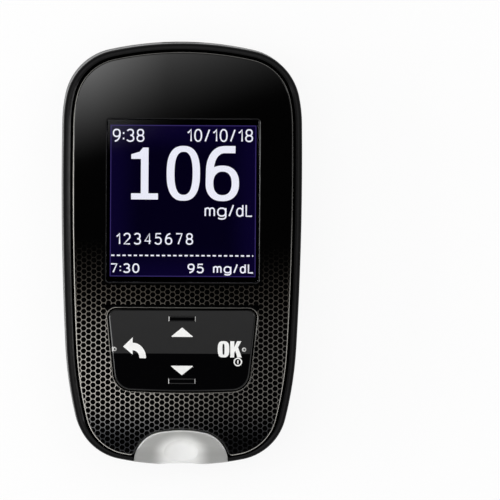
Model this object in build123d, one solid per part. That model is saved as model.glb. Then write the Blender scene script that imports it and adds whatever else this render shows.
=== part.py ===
from build123d import *
import math
import os

# A pocket blood glucose meter that lies on its back: two case shells, a glossy face plate with a
# display window and one rocking key plate, a light-guide port for the test strip, a strip ejector,
# a battery door over two coin cells, and the boards, springs and contacts inside.
#
# Millimetres. +X is to the right of the display, +Y towards the USB end, +Z out of the display.
# The origin is the centre of the outline, on the plane that the meter rests on.

# ---- Whole meter ----
LENGTH = 81.0
WIDTH = 45.9
HEIGHT = 20.0
FRONT_HEIGHT = 11.0         # of the front case, from the parting line to the top of the crown

# ---- Outline, seen from the front: tangent arcs down each side, closed by one arc at each end ----
WIDEST_INSET = 24.4         # from the top end
SIDE_RADIUS = 646.0
TOP_RADIUS = 63.5
TOP_HAUNCH_RADIUS = 27.0
TOP_HAUNCH_INSET = 15.3    # from the top end to where the haunch begins
TOP_HAUNCH_SWEEP = 50.0     # degrees, long enough to run past the end arc
TOP_CORNER_RADIUS = 11.1
BOTTOM_RADIUS = 62.0
BOTTOM_HAUNCH_RADIUS = 75.0
BOTTOM_HAUNCH_INSET = 22.7
BOTTOM_HAUNCH_SWEEP = 35.0
BOTTOM_CORNER_RADIUS = 10.4

# ---- Crown: the front is arched both ways ----
CROWN_ACROSS_RADIUS = 220.0
CROWN_ALONG_RADIUS = 420.0
CROWN_SWEEP = 18.0          # degrees of arch that are made, longer than the meter

# ---- Case shells ----
WALL = 1.6
FLOOR = 1.6
REAR_ROUND = 4.5
FRONT_ROUND = 2.6
PARTING_CHAMFER = 0.25
LIP_HEIGHT = 1.0
LIP_INSET = 0.8
FIT_GAP = 0.05
DECK_DEPTH = 4.6            # from the top of the crown down to the flat inside of the front case

# ---- Face plate ----
PLATE_THICKNESS = 1.6
PLATE_SIDE_INSET = 1.85
PLATE_END_INSET = 1.65
PLATE_STRIP_END_INSET = 1.2   # the ring is narrower at the end with the strip port
PLATE_EDGE_ROUND = 0.3
PLATE_CORNER_RADIUS = 1.0
GROOVE = 0.55               # dark gap between the face plate and the ring around it
STRIP_END_GROOVE = 0.4
RING_DROP = 0.3             # how far the ring's crown lies below the face plate's

# ---- Display ----
WINDOW_Y = 10.4
WINDOW_WIDTH = 29.2
WINDOW_LENGTH = 31.2
WINDOW_RECESS = 0.5
WINDOW_GAP = 0.1
WINDOW_CORNER_RADIUS = 0.5
WINDOW_EDGE = 0.4           # the deck's rim that carries the window
GLASS_TOP_THICKNESS = 1.5
GLASS_BASE_THICKNESS = 0.8
GLASS_BASE_MARGIN = 1.3
GLASS_DRIVER_LEDGE = 2.6
BACKLIGHT_THICKNESS = 1.8
LCD_FRAME_WALL = 1.2
LCD_FRAME_LIP = 2.0         # ledge that the light guide rests on
LCD_GAP = 0.15
FLEX_WIDTH = 18.0
FLEX_THICKNESS = 0.2
FLEX_BEND_RADIUS = 0.9
FLEX_TAIL = 5.0

# ---- Key plate ----
KEY_TOP_Y = -10.2
KEY_HEIGHT = 16.3
KEY_TOP_WIDTH = 29.2
KEY_BOTTOM_WIDTH = 25.8
KEY_BOTTOM_BULGE = 0.45
KEY_TOP_CORNER = 1.7
KEY_BOTTOM_CORNER = 3.6
KEY_GAP = 0.3
KEY_EDGE_ROUND = 0.3
KEY_PROUD = 0.15
KEY_RIDGE_Y = -18.9
KEY_ROOF_ANGLE = 4.6        # degrees that each half of the key plate slopes away from its ridge
KEY_FLANGE = 0.8
KEY_FLANGE_THICKNESS = 0.9
KEY_FLANGE_GAP = 0.6        # headroom for rocking
KEY_WALL = 1.3
KEY_ROOF_THICKNESS = 2.0
KEY_RIB = 0.8
KEY_BAR_LENGTH = 5.2
KEY_BAR_WIDTH = 1.1
KEY_BAR_HEIGHT = 0.25
KEY_BAR_INSETS = (2.05, 2.3)    # from the opening's upper and lower edge to the middle of each bar
KEY_DOT_RADIUS = 0.45
KEY_DOT_HEIGHT = 0.34
KEY_DOTS = (-12.95, 11.9)
KEY_DOT_Y = -18.1
KEY_PRESS_ALONG = 5.6       # from the pivot to the up and down presses
KEY_PRESS_ACROSS = 10.6     # from the pivot to the back and OK presses
KEY_POST_RADIUS = 1.6
KEY_POST_GAP = 0.3
KEY_MAT_THICKNESS = 0.7
KEY_MAT_CLEARANCE = 0.4     # between the mat's outline and the key plate's flange
DOME_RADIUS = 2.0
DOME_HEIGHT = 0.35
DOME_THICKNESS = 0.1

# ---- Cross-shaped pivot under the key plate ----
PIVOT_HEIGHT = 1.3          # of both pin axes above the board
PIVOT_BLOCK = 3.0
PIVOT_BLOCK_HEIGHT = 1.3
PIVOT_PIN_RADIUS = 0.5
PIVOT_PIN_GAP = 0.05
PIVOT_EAR_THICKNESS = 1.0
PIVOT_EAR_GAP = 0.3
PIVOT_EAR_WIDTH = 2.2
PIVOT_BASE_THICKNESS = 0.4
PIVOT_WINDOW = 11.0         # clear width of the mat around the pivot

# ---- Strip port ----
PORT_WIDTH = 18.0
PORT_HEIGHT = 6.8
PORT_RISE = 6.15            # of the arch, above its upright legs
PORT_SIDE_RADIUS = 5.85
PORT_BOTTOM_Z = 5.6
PORT_PROUD = 0.25
PORT_END_ROUND = 5.2
PORT_EDGE_ROUND = 0.4
PORT_GAP = 0.25
PORT_SCOOP_RADIUS = 9.0
PORT_SCOOP_DEPTH = 0.6
PORT_SCOOP_LEAN = 30.0      # degrees that the scoop's floor slopes down to the strip end
PORT_HOLLOW_WIDTH = 10.6    # shallow hollow down the end, where a thumb guides the strip
PORT_HOLLOW_DEPTH = 0.35
STRIP_WIDTH = 8.4
STRIP_SLOT_HEIGHT = 0.9
STRIP_BELOW_BOARD = 1.6
STRIP_MOUTH_DEPTH = 1.4
STRIP_MOUTH_FLARE = 0.7

# ---- Strip connector and ejector ----
CONNECTOR_LENGTH = 7.8
CONNECTOR_WALL = 1.6
CONNECTOR_GAP = 0.25
CONTACT_COUNT = 4
CONTACT_PITCH = 1.3
CONTACT_WIDTH = 0.6
CONTACT_THICKNESS = 0.2
CONTACT_LENGTH = 4.6
EJECT_TRAVEL = 5.0
EJECT_GAP = 0.3
BUTTON_WIDTH = 10.2
BUTTON_LENGTH = 7.2
BUTTON_THICKNESS = 0.8
BUTTON_SINK = 0.1
BUTTON_RIBS = 5
BUTTON_RIB_DEPTH = 0.3
POCKET_DEPTH = 1.0
STEM_WIDTH = 2.4
STEM_LENGTH = 4.0
CARRIAGE_WIDTH = 8.4
CARRIAGE_THICKNESS = 1.4
PRONG_WIDTH = 0.9
PRONG_ENTRY = 0.3
YOKE_THICKNESS = 1.6
COLUMN_WIDTH = 3.2
RAIL_WIDTH = 1.0
RAIL_HEIGHT = 1.8
SPRING_RADIUS = 1.0
SPRING_WIRE = 0.25
SPRING_TURNS = 6
SPRING_LENGTH = 6.6
SPRING_STOP_THICKNESS = 1.0

# ---- Main board, and what is under it: X, Y, width, length and height of each chip ----
BOARD_DEPTH = 8.4           # from the top of the crown down to the board's upper face
BOARD_THICKNESS = 1.0
BOARD_CLEARANCE = 1.0
PROCESSOR = (-7.0, 12.0, 7.0, 7.0, 0.9)
MEMORY = (5.5, 20.0, 4.4, 5.4, 0.9)
MEASURING_CHIP = (3.0, -14.0, 5.0, 5.0, 0.8)
RADIO = (-14.6, 20.0, 6.0, 8.0, 1.4)
CRYSTAL = (3.0, 9.0, 3.2, 1.5, 0.7)
REGULATOR = (8.0, 3.0, 3.0, 3.0, 0.9)
COMPONENT_SIZE = (1.0, 0.5, 0.4)
COMPONENT_PITCH = 1.3
LEFT_ROW = (-14.5, 5.0)
RIGHT_ROW = (14.5, 2.0)
LOWER_ROW = (-12.0, -12.5)
LEFT_COUNT = 8
RIGHT_COUNT = 10
LOWER_COUNT = 6
BEEPER_PLACE = (14.0, -16.5)
BEEPER_RADIUS = 4.2
BEEPER_HEIGHT = 1.8

# ---- USB socket ----
USB_WIDTH = 7.6
USB_HEIGHT = 2.7
USB_LENGTH = 5.2
USB_WALL = 0.3
USB_SET_BACK = 0.9          # from the meter's top end to the socket's mouth
USB_OPENING_MARGIN = 0.4
USB_TONGUE_WIDTH = 4.4
USB_TONGUE_THICKNESS = 0.6

# ---- Coin cells and their bay ----
CELL_RADIUS = 10.0
CELL_THICKNESS = 3.2
CELL_WALL = 0.3
CELL_GAP = 0.3
CELL_Z = 1.6
BAY_Y = 9.5
BAY_CEILING_Z = 6.0
BAY_CEILING = 1.0
BAY_WALL = 1.2
SPRING_LEAF_WIDTH = 4.0
SPRING_LEAF_LENGTH = 9.0
SPRING_LEAF_THICKNESS = 0.25
SIDE_CONTACT_LENGTH = 4.6
SIDE_CONTACT_THICKNESS = 0.3
SIDE_CONTACT_ANGLE = 50.0   # round each cell, from the line across the meter

# ---- Battery door ----
DOOR_WIDTH = 23.6
DOOR_THICKNESS = 1.0
DOOR_SINK = 0.05
DOOR_GAP = 0.15
DOOR_CORNER_RADIUS = 2.5
DOOR_LATCH_MARGIN = 2.0     # door beyond the bay at the latch end
DOOR_PAD_RADIUS = 3.0       # pads that hold the cells up
DOOR_PAD_GAP = 0.05
BARREL_RADIUS = 1.6
BARREL_CLEARANCE = 0.3
BARREL_LENGTH = 20.8
HINGE_WALL = 0.8
HINGE_PIN_RADIUS = 0.8
HINGE_PIN_LENGTH = 1.2
HINGE_PIN_GAP = 0.05
LEDGE_THICKNESS = 1.2
LATCH_WIDTH = 8.0
LATCH_SLOT = 0.6
LATCH_LENGTH = 4.5
SCOOP_RADIUS = 7.0
SCOOP_DEPTH = 0.8
SCOOP_WIDTH = 9.0
PAD_MARGIN = 4.4            # thick floor beyond the door's free end, under the scoop

# ---- Case screws ----
SCREW_TOP = (15.4, 32.5)
SCREW_BOTTOM = (14.4, -29.5)
SCREW_HEAD_RADIUS = 1.9
SCREW_HEAD_HEIGHT = 1.2
SCREW_SHANK_RADIUS = 0.9
SCREW_END_GAP = 2.0         # solid deck above the screws' ends
SCREW_SEAT_Z = 2.4
SCREW_GAP = 0.2
SCREW_PILOT_GAP = 0.03
REAR_BOSS_RADIUS = 3.0
FRONT_BOSS_RADIUS = 2.6

# ---- Worked-out places ----
TOP_Y = LENGTH / 2
STRIP_END_Y = -LENGTH / 2
WIDEST_Y = TOP_Y - WIDEST_INSET
TOP_HAUNCH_Y = TOP_Y - TOP_HAUNCH_INSET
BOTTOM_HAUNCH_Y = STRIP_END_Y + BOTTOM_HAUNCH_INSET
PARTING_Z = HEIGHT - FRONT_HEIGHT
PLATE_UNDER_Z = HEIGHT - PLATE_THICKNESS
DECK_Z = HEIGHT - DECK_DEPTH
BOARD_TOP_Z = HEIGHT - BOARD_DEPTH
BOARD_Z = BOARD_TOP_Z - BOARD_THICKNESS
STRIP_Z = BOARD_Z - STRIP_BELOW_BOARD
SCREW_LENGTH = DECK_Z - SCREW_SEAT_Z - SCREW_END_GAP
FAR = 60.0                  # reaches well past the meter, for cutting

KEY_MID_Y = KEY_TOP_Y - KEY_HEIGHT / 2
KEY_FLANGE_TOP_Z = DECK_Z - KEY_FLANGE_GAP
KEY_FLANGE_Z = KEY_FLANGE_TOP_Z - KEY_FLANGE_THICKNESS
PIVOT_Z = BOARD_TOP_Z + PIVOT_HEIGHT

PORT_INNER_Y = STRIP_END_Y + PORT_HEIGHT
CONNECTOR_Y0 = PORT_INNER_Y + CONNECTOR_GAP
CONNECTOR_Y1 = CONNECTOR_Y0 + CONNECTOR_LENGTH
YOKE_Y0 = CONNECTOR_Y1 + EJECT_TRAVEL + EJECT_GAP
YOKE_Y1 = YOKE_Y0 + YOKE_THICKNESS
BUTTON_Y = YOKE_Y1 - BUTTON_LENGTH / 2 - 1.9
CARRIAGE_Y0 = BUTTON_Y - STEM_LENGTH
CARRIAGE_Z = FLOOR + 0.2
SPRING_Z = CARRIAGE_Z + CARRIAGE_THICKNESS
SPRING_SEAT_Z = SPRING_Z + SPRING_RADIUS + 0.4
SPRING_STOP_Y = CARRIAGE_Y0 - SPRING_LENGTH

BAY_WIDTH = 2 * (CELL_RADIUS + CELL_GAP)
BAY_LENGTH = 4 * CELL_RADIUS + 4 * CELL_GAP
BAY_TOP_Y = BAY_Y + BAY_LENGTH / 2
BAY_BOTTOM_Y = BAY_Y - BAY_LENGTH / 2
CELL_OFFSET = CELL_RADIUS + CELL_GAP / 2
HINGE_Z = DOOR_SINK + BARREL_RADIUS
HINGE_Y = BAY_TOP_Y + HINGE_WALL + BARREL_RADIUS + BARREL_CLEARANCE
DOOR_END_Y = BAY_BOTTOM_Y - DOOR_LATCH_MARGIN
DOOR_INNER_Z = DOOR_SINK + DOOR_THICKNESS
LEDGE_Z = DOOR_INNER_Z + FIT_GAP
PAD_TOP_Z = LEDGE_Z + LEDGE_THICKNESS
SCREWS = [(s * x, y) for x, y in (SCREW_TOP, SCREW_BOTTOM) for s in (-1, 1)]


# ---------------------------------------------------------------- shared shapes
def block(x0, x1, y0, y1, z0, z1):
    """A box between six planes."""
    return Pos((x0 + x1) / 2, (y0 + y1) / 2, (z0 + z1) / 2) * Box(x1 - x0, y1 - y0, z1 - z0)


def prism(face, z0, z1):
    """An outline in the XY plane, raised from z0 to z1."""
    return extrude(Pos(0, 0, z0) * face, amount=z1 - z0)


def rod_x(radius, x0, x1, y, z):
    """A round bar along X."""
    return Pos((x0 + x1) / 2, y, z) * Rot(0, 90, 0) * Cylinder(radius, x1 - x0)


def rod_y(radius, y0, y1, x, z):
    """A round bar along Y."""
    return Pos(x, (y0 + y1) / 2, z) * Rot(90, 0, 0) * Cylinder(radius, y1 - y0)


def rod_z(radius, z0, z1, x, y):
    """A round bar along Z."""
    return Pos(x, y, (z0 + z1) / 2) * Cylinder(radius, z1 - z0)


def rounded(width, length, radius, x=0.0, y=0.0):
    """A rounded rectangle in the XY plane."""
    return Pos(x, y) * RectangleRounded(width, length, radius)


def bowed_leaf(y0, y1, end_z, middle_z, width, thickness):
    """A flat strip along Y that is bowed up or down at its middle."""
    bow = Plane.YZ * ThreePointArc((y0, end_z), ((y0 + y1) / 2, middle_z), (y1, end_z))
    section = Plane(origin=bow @ 0, z_dir=bow % 0, x_dir=(1, 0, 0)) * Rectangle(width, thickness)
    return sweep(section, path=bow)


def grow(face, amount):
    """The outline, larger by amount all round, or smaller if it is negative."""
    return offset(face, amount=amount) if amount else face


def side_edges(side, inset):
    """One side of the meter's outline, from above the top end to below the strip end."""
    middle_x = WIDTH / 2 - SIDE_RADIUS

    def arc(x, y, radius, start, sweep_angle):
        if side < 0:
            start, sweep_angle = 180 - start, -sweep_angle
        return CenterArc((side * x, y), radius - inset, start, sweep_angle)

    edges, starts = [], []
    haunches = [
        (TOP_HAUNCH_Y, TOP_HAUNCH_RADIUS, TOP_HAUNCH_SWEEP),
        (BOTTOM_HAUNCH_Y, BOTTOM_HAUNCH_RADIUS, -BOTTOM_HAUNCH_SWEEP),
    ]
    for start_y, radius, sweep_angle in haunches:
        reach = SIDE_RADIUS - radius
        angle = math.asin((start_y - WIDEST_Y) / SIDE_RADIUS)
        x = middle_x + reach * math.cos(angle)
        y = WIDEST_Y + reach * math.sin(angle)
        starts.append(math.degrees(angle))
        edges.append(arc(x, y, radius, starts[-1], sweep_angle))
    edges.append(arc(middle_x, WIDEST_Y, SIDE_RADIUS, starts[1], starts[0] - starts[1]))
    return edges


def case_outline(inset=0.0, end_inset=None, strip_end_inset=None):
    """The meter's outline seen from the front, moved in at the sides and at the two ends."""
    end_inset = inset if end_inset is None else end_inset
    strip_end_inset = end_inset if strip_end_inset is None else strip_end_inset
    right, left = side_edges(1, inset), side_edges(-1, inset)
    closers = [Line(right[i] @ 1, left[i] @ 1) for i in (0, 1)]
    shape = make_face([*right, *left, *closers])
    shape &= Pos(0, TOP_Y - TOP_RADIUS) * Circle(TOP_RADIUS - end_inset)
    shape &= Pos(0, STRIP_END_Y + BOTTOM_RADIUS) * Circle(BOTTOM_RADIUS - strip_end_inset)
    shape = fillet(shape.vertices().sort_by(Axis.Y)[-2:], TOP_CORNER_RADIUS - (inset + end_inset) / 2)
    return fillet(shape.vertices().sort_by(Axis.Y)[:2], BOTTOM_CORNER_RADIUS - (inset + strip_end_inset) / 2)


def under_crown(top_z):
    """Everything below the arched front surface whose highest point is top_z."""
    half = WIDTH
    drop = CROWN_ACROSS_RADIUS - math.sqrt(CROWN_ACROSS_RADIUS**2 - half**2)
    arch = ThreePointArc((-half, top_z - drop), (0, top_z), (half, top_z - drop))
    base = Polyline((half, top_z - drop), (half, top_z - FAR), (-half, top_z - FAR), (-half, top_z - drop))
    section = Plane.XZ * make_face([arch, base])
    spin = Axis((0, 0, top_z - CROWN_ALONG_RADIUS), (1, 0, 0))
    return revolve(section.rotate(spin, -CROWN_SWEEP / 2), axis=spin, revolution_arc=CROWN_SWEEP)


def crown_z(x, y, top_z=HEIGHT):
    """Height of the arched surface over a point."""
    across = CROWN_ACROSS_RADIUS - math.sqrt(CROWN_ACROSS_RADIUS**2 - x**2)
    along = CROWN_ALONG_RADIUS - math.sqrt(CROWN_ALONG_RADIUS**2 - y**2)
    return top_z - across - along


def key_outline(amount=0.0):
    """The key plate's opening: a rounded trapezium with a bowed lower edge."""
    top, bottom = KEY_TOP_WIDTH / 2, KEY_BOTTOM_WIDTH / 2
    low_y = KEY_TOP_Y - KEY_HEIGHT + KEY_BOTTOM_BULGE
    upper = Polyline((-bottom, low_y), (-top, KEY_TOP_Y), (top, KEY_TOP_Y), (bottom, low_y))
    lower = ThreePointArc((bottom, low_y), (0, low_y - KEY_BOTTOM_BULGE), (-bottom, low_y))
    shape = make_face([upper, lower])
    shape = fillet(shape.vertices().sort_by(Axis.Y)[-2:], KEY_TOP_CORNER)
    shape = fillet(shape.vertices().sort_by(Axis.Y)[:2], KEY_BOTTOM_CORNER)
    return grow(shape, amount)


def port_outline(amount=0.0):
    """The three-centred arch of the strip port; its legs run past the strip end of the case."""
    half, rise = PORT_WIDTH / 2, PORT_RISE
    side = PORT_SIDE_RADIUS
    base_y = PORT_INNER_Y - rise
    offset_x = half - side
    top = (offset_x**2 + rise**2 - side**2) / (2 * (rise - side))
    turn = math.degrees(math.atan2(top - rise, offset_x))
    right = CenterArc((offset_x, base_y), side + amount, 0, turn)
    crown = CenterArc((0, PORT_INNER_Y - top), top + amount, turn, 180 - 2 * turn)
    left = CenterArc((-offset_x, base_y), side + amount, 180 - turn, turn)
    past_y = STRIP_END_Y - rise
    legs = Polyline(left @ 1, (-half - amount, past_y), (half + amount, past_y), right @ 0)
    return make_face([right, crown, left, legs])


def usb_opening():
    """The hole through the top end wall for the USB plug."""
    margin = USB_OPENING_MARGIN
    z = BOARD_Z - USB_HEIGHT / 2
    hole = Plane.XZ * Pos(0, z) * RectangleRounded(USB_WIDTH + 2 * margin, USB_HEIGHT + 2 * margin, 1.0)
    return extrude(hole, amount=-FAR)


# ---------------------------------------------------------------- case
def front_case():
    """Glossy upper shell: side wall, ring round the face plate, and the deck under the plate."""
    ring = prism(case_outline(), PARTING_Z, HEIGHT + 1) & under_crown(HEIGHT - RING_DROP)
    ring = fillet(ring.faces().sort_by(Axis.Z)[-1].edges(), FRONT_ROUND)
    ring = chamfer(ring.faces().sort_by(Axis.Z)[0].edges(), PARTING_CHAMFER)
    seat_outline = case_outline(
        PLATE_SIDE_INSET - GROOVE, PLATE_END_INSET - GROOVE, PLATE_STRIP_END_INSET - STRIP_END_GROOVE
    )
    seat = prism(seat_outline, PARTING_Z, HEIGHT + 1) - under_crown(PLATE_UNDER_Z - FIT_GAP)
    hollow = prism(case_outline(WALL), PARTING_Z - 1, DECK_Z)
    rebate = prism(case_outline(LIP_INSET), PARTING_Z - 1, PARTING_Z + LIP_HEIGHT + 2 * FIT_GAP)
    body = ring - seat - hollow - rebate
    for x, y in SCREWS:
        body += rod_z(FRONT_BOSS_RADIUS, PARTING_Z, DECK_Z + 0.2, x, y)
    for x, y in SCREWS:
        pilot_top = SCREW_SEAT_Z + SCREW_LENGTH + SCREW_GAP
        body -= rod_z(SCREW_SHANK_RADIUS + SCREW_PILOT_GAP, PARTING_Z - 1, pilot_top, x, y)
    aperture = rounded(
        WINDOW_WIDTH - 2 * WINDOW_EDGE, WINDOW_LENGTH - 2 * WINDOW_EDGE, WINDOW_CORNER_RADIUS, 0, WINDOW_Y
    )
    body -= prism(aperture, DECK_Z - 1, HEIGHT + 1)
    body -= prism(key_outline(), DECK_Z - 1, HEIGHT + 1)
    body -= prism(port_outline(FIT_GAP), PARTING_Z - 1, HEIGHT + 1)
    return body - usb_opening()


def rear_case():
    """Matt lower shell with the cell bay, door hinge ears, ejector pocket and screw bosses."""
    outer = prism(case_outline(), 0, PARTING_Z)
    outer = fillet(outer.faces().sort_by(Axis.Z)[0].edges(), REAR_ROUND)
    outer = chamfer(outer.faces().sort_by(Axis.Z)[-1].edges(), PARTING_CHAMFER)
    inner = prism(case_outline(WALL), FLOOR, PARTING_Z + 1)
    inner = fillet(inner.faces().sort_by(Axis.Z)[0].edges(), REAR_ROUND - WALL)
    lip = prism(case_outline(LIP_INSET + FIT_GAP), PARTING_Z - 1, PARTING_Z + LIP_HEIGHT)
    lip -= prism(case_outline(WALL), PARTING_Z - 2, PARTING_Z + LIP_HEIGHT + 1)
    body = outer - inner + lip
    inside = inner + prism(case_outline(WALL), PARTING_Z, PARTING_Z + 1)

    # Thick pad round the door, the bay's box, the hinge ears and the screw bosses.
    pad_x = DOOR_WIDTH / 2 + BAY_WALL
    ear_y0, ear_y1 = HINGE_Y - BARREL_RADIUS - BAY_WALL, HINGE_Y + BARREL_RADIUS + BAY_WALL
    bay_x = BAY_WIDTH / 2 + BAY_WALL
    bay_y0, bay_y1 = BAY_BOTTOM_Y - BAY_WALL, BAY_TOP_Y + HINGE_WALL
    added = block(-pad_x, pad_x, DOOR_END_Y - PAD_MARGIN, ear_y1, 1, PAD_TOP_Z)
    added += block(-bay_x, bay_x, bay_y0, bay_y1, 1, BAY_CEILING_Z + BAY_CEILING)
    added += block(-pad_x, pad_x, ear_y0, ear_y1, 1, HINGE_Z + BARREL_RADIUS + BAY_WALL)
    for x, y in SCREWS:
        added += rod_z(REAR_BOSS_RADIUS, 1, PARTING_Z - FIT_GAP, x, y)
    body += added & inside

    # The bay itself, the door's seat, the hinge channel and the pin holes.
    bay = Pos(0, BAY_Y) * Rot(0, 0, 90) * SlotOverall(BAY_LENGTH, BAY_WIDTH)
    body -= prism(bay, -1, BAY_CEILING_Z)
    seat_y1 = HINGE_Y - BARREL_RADIUS - BARREL_CLEARANCE
    seat_length = seat_y1 - DOOR_END_Y + DOOR_GAP
    seat = rounded(
        DOOR_WIDTH + 2 * DOOR_GAP, seat_length + DOOR_CORNER_RADIUS, DOOR_CORNER_RADIUS + DOOR_GAP,
        0, DOOR_END_Y - DOOR_GAP + (seat_length + DOOR_CORNER_RADIUS) / 2,
    )
    seat &= Pos(0, seat_y1 - FAR) * Rectangle(2 * FAR, 2 * FAR)
    body -= prism(seat, -1, LEDGE_Z)
    channel_x = BARREL_LENGTH / 2 + BARREL_CLEARANCE
    channel_r = BARREL_RADIUS + BARREL_CLEARANCE
    body -= block(-channel_x, channel_x, HINGE_Y - channel_r, HINGE_Y + channel_r, -1, HINGE_Z)
    body -= rod_x(channel_r, -channel_x, channel_x, HINGE_Y, HINGE_Z)
    pin_x = BARREL_LENGTH / 2 + HINGE_PIN_LENGTH + HINGE_PIN_GAP
    body -= rod_x(HINGE_PIN_RADIUS + HINGE_PIN_GAP, -pin_x, pin_x, HINGE_Y, HINGE_Z)
    half = SCOOP_WIDTH / 2
    scoop = rod_x(SCOOP_RADIUS, -half, half, DOOR_END_Y - DOOR_GAP, SCOOP_DEPTH - SCOOP_RADIUS)
    body -= scoop & block(-FAR, FAR, -FAR, DOOR_END_Y, -1, SCOOP_DEPTH + 1)

    # Slots in the bay's ceiling for the legs of the cell contacts.
    for y in cell_centres():
        body -= block(-1.3, 1.3, y - 0.6, y + 0.6, BAY_CEILING_Z - 1, BAY_CEILING_Z + BAY_CEILING + 1)
    for x, y, _ in side_contact_places():
        body -= rod_z(1.2, BAY_CEILING_Z - 1, BAY_CEILING_Z + BAY_CEILING + 1, x, y)

    # Ejector: pocket for the button, slot for its stem, rails and the spring's stop.
    pocket_y0 = BUTTON_Y - BUTTON_LENGTH / 2 - EJECT_TRAVEL - EJECT_GAP
    pocket_y1 = BUTTON_Y + BUTTON_LENGTH / 2 + EJECT_GAP
    pocket = rounded(
        BUTTON_WIDTH + 2 * EJECT_GAP, pocket_y1 - pocket_y0, 1.2, 0, (pocket_y0 + pocket_y1) / 2
    )
    body -= prism(pocket, -1, POCKET_DEPTH)
    slot_x = STEM_WIDTH / 2 + EJECT_GAP
    slot_y0 = BUTTON_Y - STEM_LENGTH / 2 - EJECT_TRAVEL - EJECT_GAP
    slot_y1 = BUTTON_Y + STEM_LENGTH / 2 + EJECT_GAP
    body -= block(-slot_x, slot_x, slot_y0, slot_y1, 0, FLOOR + 1)
    rail_x = CARRIAGE_WIDTH / 2 + EJECT_GAP
    rail_y0 = CARRIAGE_Y0 - EJECT_TRAVEL - EJECT_GAP
    body -= block(-rail_x, rail_x, rail_y0, YOKE_Y1 + EJECT_GAP, FLOOR, PARTING_Z)
    for side in (-1, 1):
        x0, x1 = sorted((side * rail_x, side * (rail_x + RAIL_WIDTH)))
        body += block(x0, x1, rail_y0, YOKE_Y1, FLOOR - 0.2, FLOOR + RAIL_HEIGHT)
    stop_x = SPRING_RADIUS + 1.0
    stop_y0 = SPRING_STOP_Y - SPRING_STOP_THICKNESS
    body += block(-stop_x, stop_x, stop_y0, SPRING_STOP_Y, FLOOR - 0.2, SPRING_SEAT_Z)

    for x, y in SCREWS:
        body -= rod_z(SCREW_HEAD_RADIUS + SCREW_GAP, -1, SCREW_SEAT_Z, x, y)
        body -= rod_z(SCREW_SHANK_RADIUS + SCREW_GAP, 0, PARTING_Z + 1, x, y)
    body -= prism(port_outline(FIT_GAP), PORT_BOTTOM_Z - FIT_GAP, HEIGHT)
    return body - usb_opening()


def face_plate():
    """Glossy arched plate with the openings for the window, the key plate and the strip port."""
    outline = case_outline(PLATE_SIDE_INSET, PLATE_END_INSET, PLATE_STRIP_END_INSET)
    outline -= port_outline(PORT_GAP)
    outline = fillet(outline.vertices().sort_by(Axis.Y)[:2], PLATE_CORNER_RADIUS)
    outline -= rounded(WINDOW_WIDTH, WINDOW_LENGTH, WINDOW_CORNER_RADIUS, 0, WINDOW_Y)
    outline -= key_outline()
    plate = prism(outline, PARTING_Z, HEIGHT + 1) & under_crown(HEIGHT)
    plate -= under_crown(PLATE_UNDER_Z)
    return fillet(plate.faces().sort_by(Axis.Z)[-1].edges(), PLATE_EDGE_ROUND)


def display_window():
    """Clear window that lies a little below the face plate."""
    width, length = WINDOW_WIDTH - 2 * WINDOW_GAP, WINDOW_LENGTH - 2 * WINDOW_GAP
    outline = rounded(width, length, WINDOW_CORNER_RADIUS - WINDOW_GAP, 0, WINDOW_Y)
    window = prism(outline, PARTING_Z, HEIGHT) & under_crown(HEIGHT - WINDOW_RECESS)
    return window - under_crown(PLATE_UNDER_Z)


def port_round_centre():
    """Y and Z of the centre of the port's rounded end, which meets the crown without a step."""
    y = STRIP_END_Y + PORT_END_ROUND
    slope = math.asin(-y / CROWN_ALONG_RADIUS)
    touch = crown_z(0, y - PORT_END_ROUND * math.sin(slope), HEIGHT - RING_DROP + PORT_PROUD)
    return y, touch - PORT_END_ROUND * math.cos(slope) + 0.01


def port_cover():
    """Translucent arch that lights and guides the test strip into its slot."""
    outline = port_outline() & case_outline()
    body = prism(outline, PORT_BOTTOM_Z, HEIGHT + 1) & under_crown(HEIGHT - RING_DROP + PORT_PROUD)
    round_y, round_z = port_round_centre()
    past = PORT_WIDTH
    nose = rod_x(PORT_END_ROUND, -past, past, round_y, round_z)
    nose += block(-past, past, STRIP_END_Y, 0, PORT_BOTTOM_Z - 1, round_z)
    nose += block(-past, past, round_y - 0.4, 0, round_z - 1, HEIGHT + 1)
    body &= nose
    rim = [e for e in body.faces().sort_by(Axis.Z)[-1].edges() if e.center().Y > round_y]
    body = fillet(rim, PORT_EDGE_ROUND)
    lean = math.radians(PORT_SCOOP_LEAN)
    away = PORT_END_ROUND + PORT_SCOOP_RADIUS - PORT_SCOOP_DEPTH
    scoop = Rot(90 + PORT_SCOOP_LEAN, 0, 0) * Cylinder(PORT_SCOOP_RADIUS, FAR)
    body -= Pos(0, round_y - away * math.sin(lean), round_z + away * math.cos(lean)) * scoop
    hollow = ((PORT_HOLLOW_WIDTH / 2) ** 2 + PORT_HOLLOW_DEPTH**2) / (2 * PORT_HOLLOW_DEPTH)
    body -= rod_z(hollow, PORT_BOTTOM_Z - 1, HEIGHT + 1, 0, STRIP_END_Y + PORT_HOLLOW_DEPTH - hollow)
    half, slot = STRIP_WIDTH / 2 + 0.1, STRIP_SLOT_HEIGHT / 2
    body -= block(-half, half, STRIP_END_Y - 1, PORT_INNER_Y + 1, STRIP_Z - slot, STRIP_Z + slot)
    mouth = []
    for y, flare in ((STRIP_END_Y - 0.2, STRIP_MOUTH_FLARE), (STRIP_END_Y + STRIP_MOUTH_DEPTH, 0)):
        facing = Plane(origin=(0, y, STRIP_Z), x_dir=(1, 0, 0), z_dir=(0, -1, 0))
        mouth.append(facing * Rectangle(2 * (half + flare), 2 * (slot + flare)))
    return body - loft(mouth)


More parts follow.
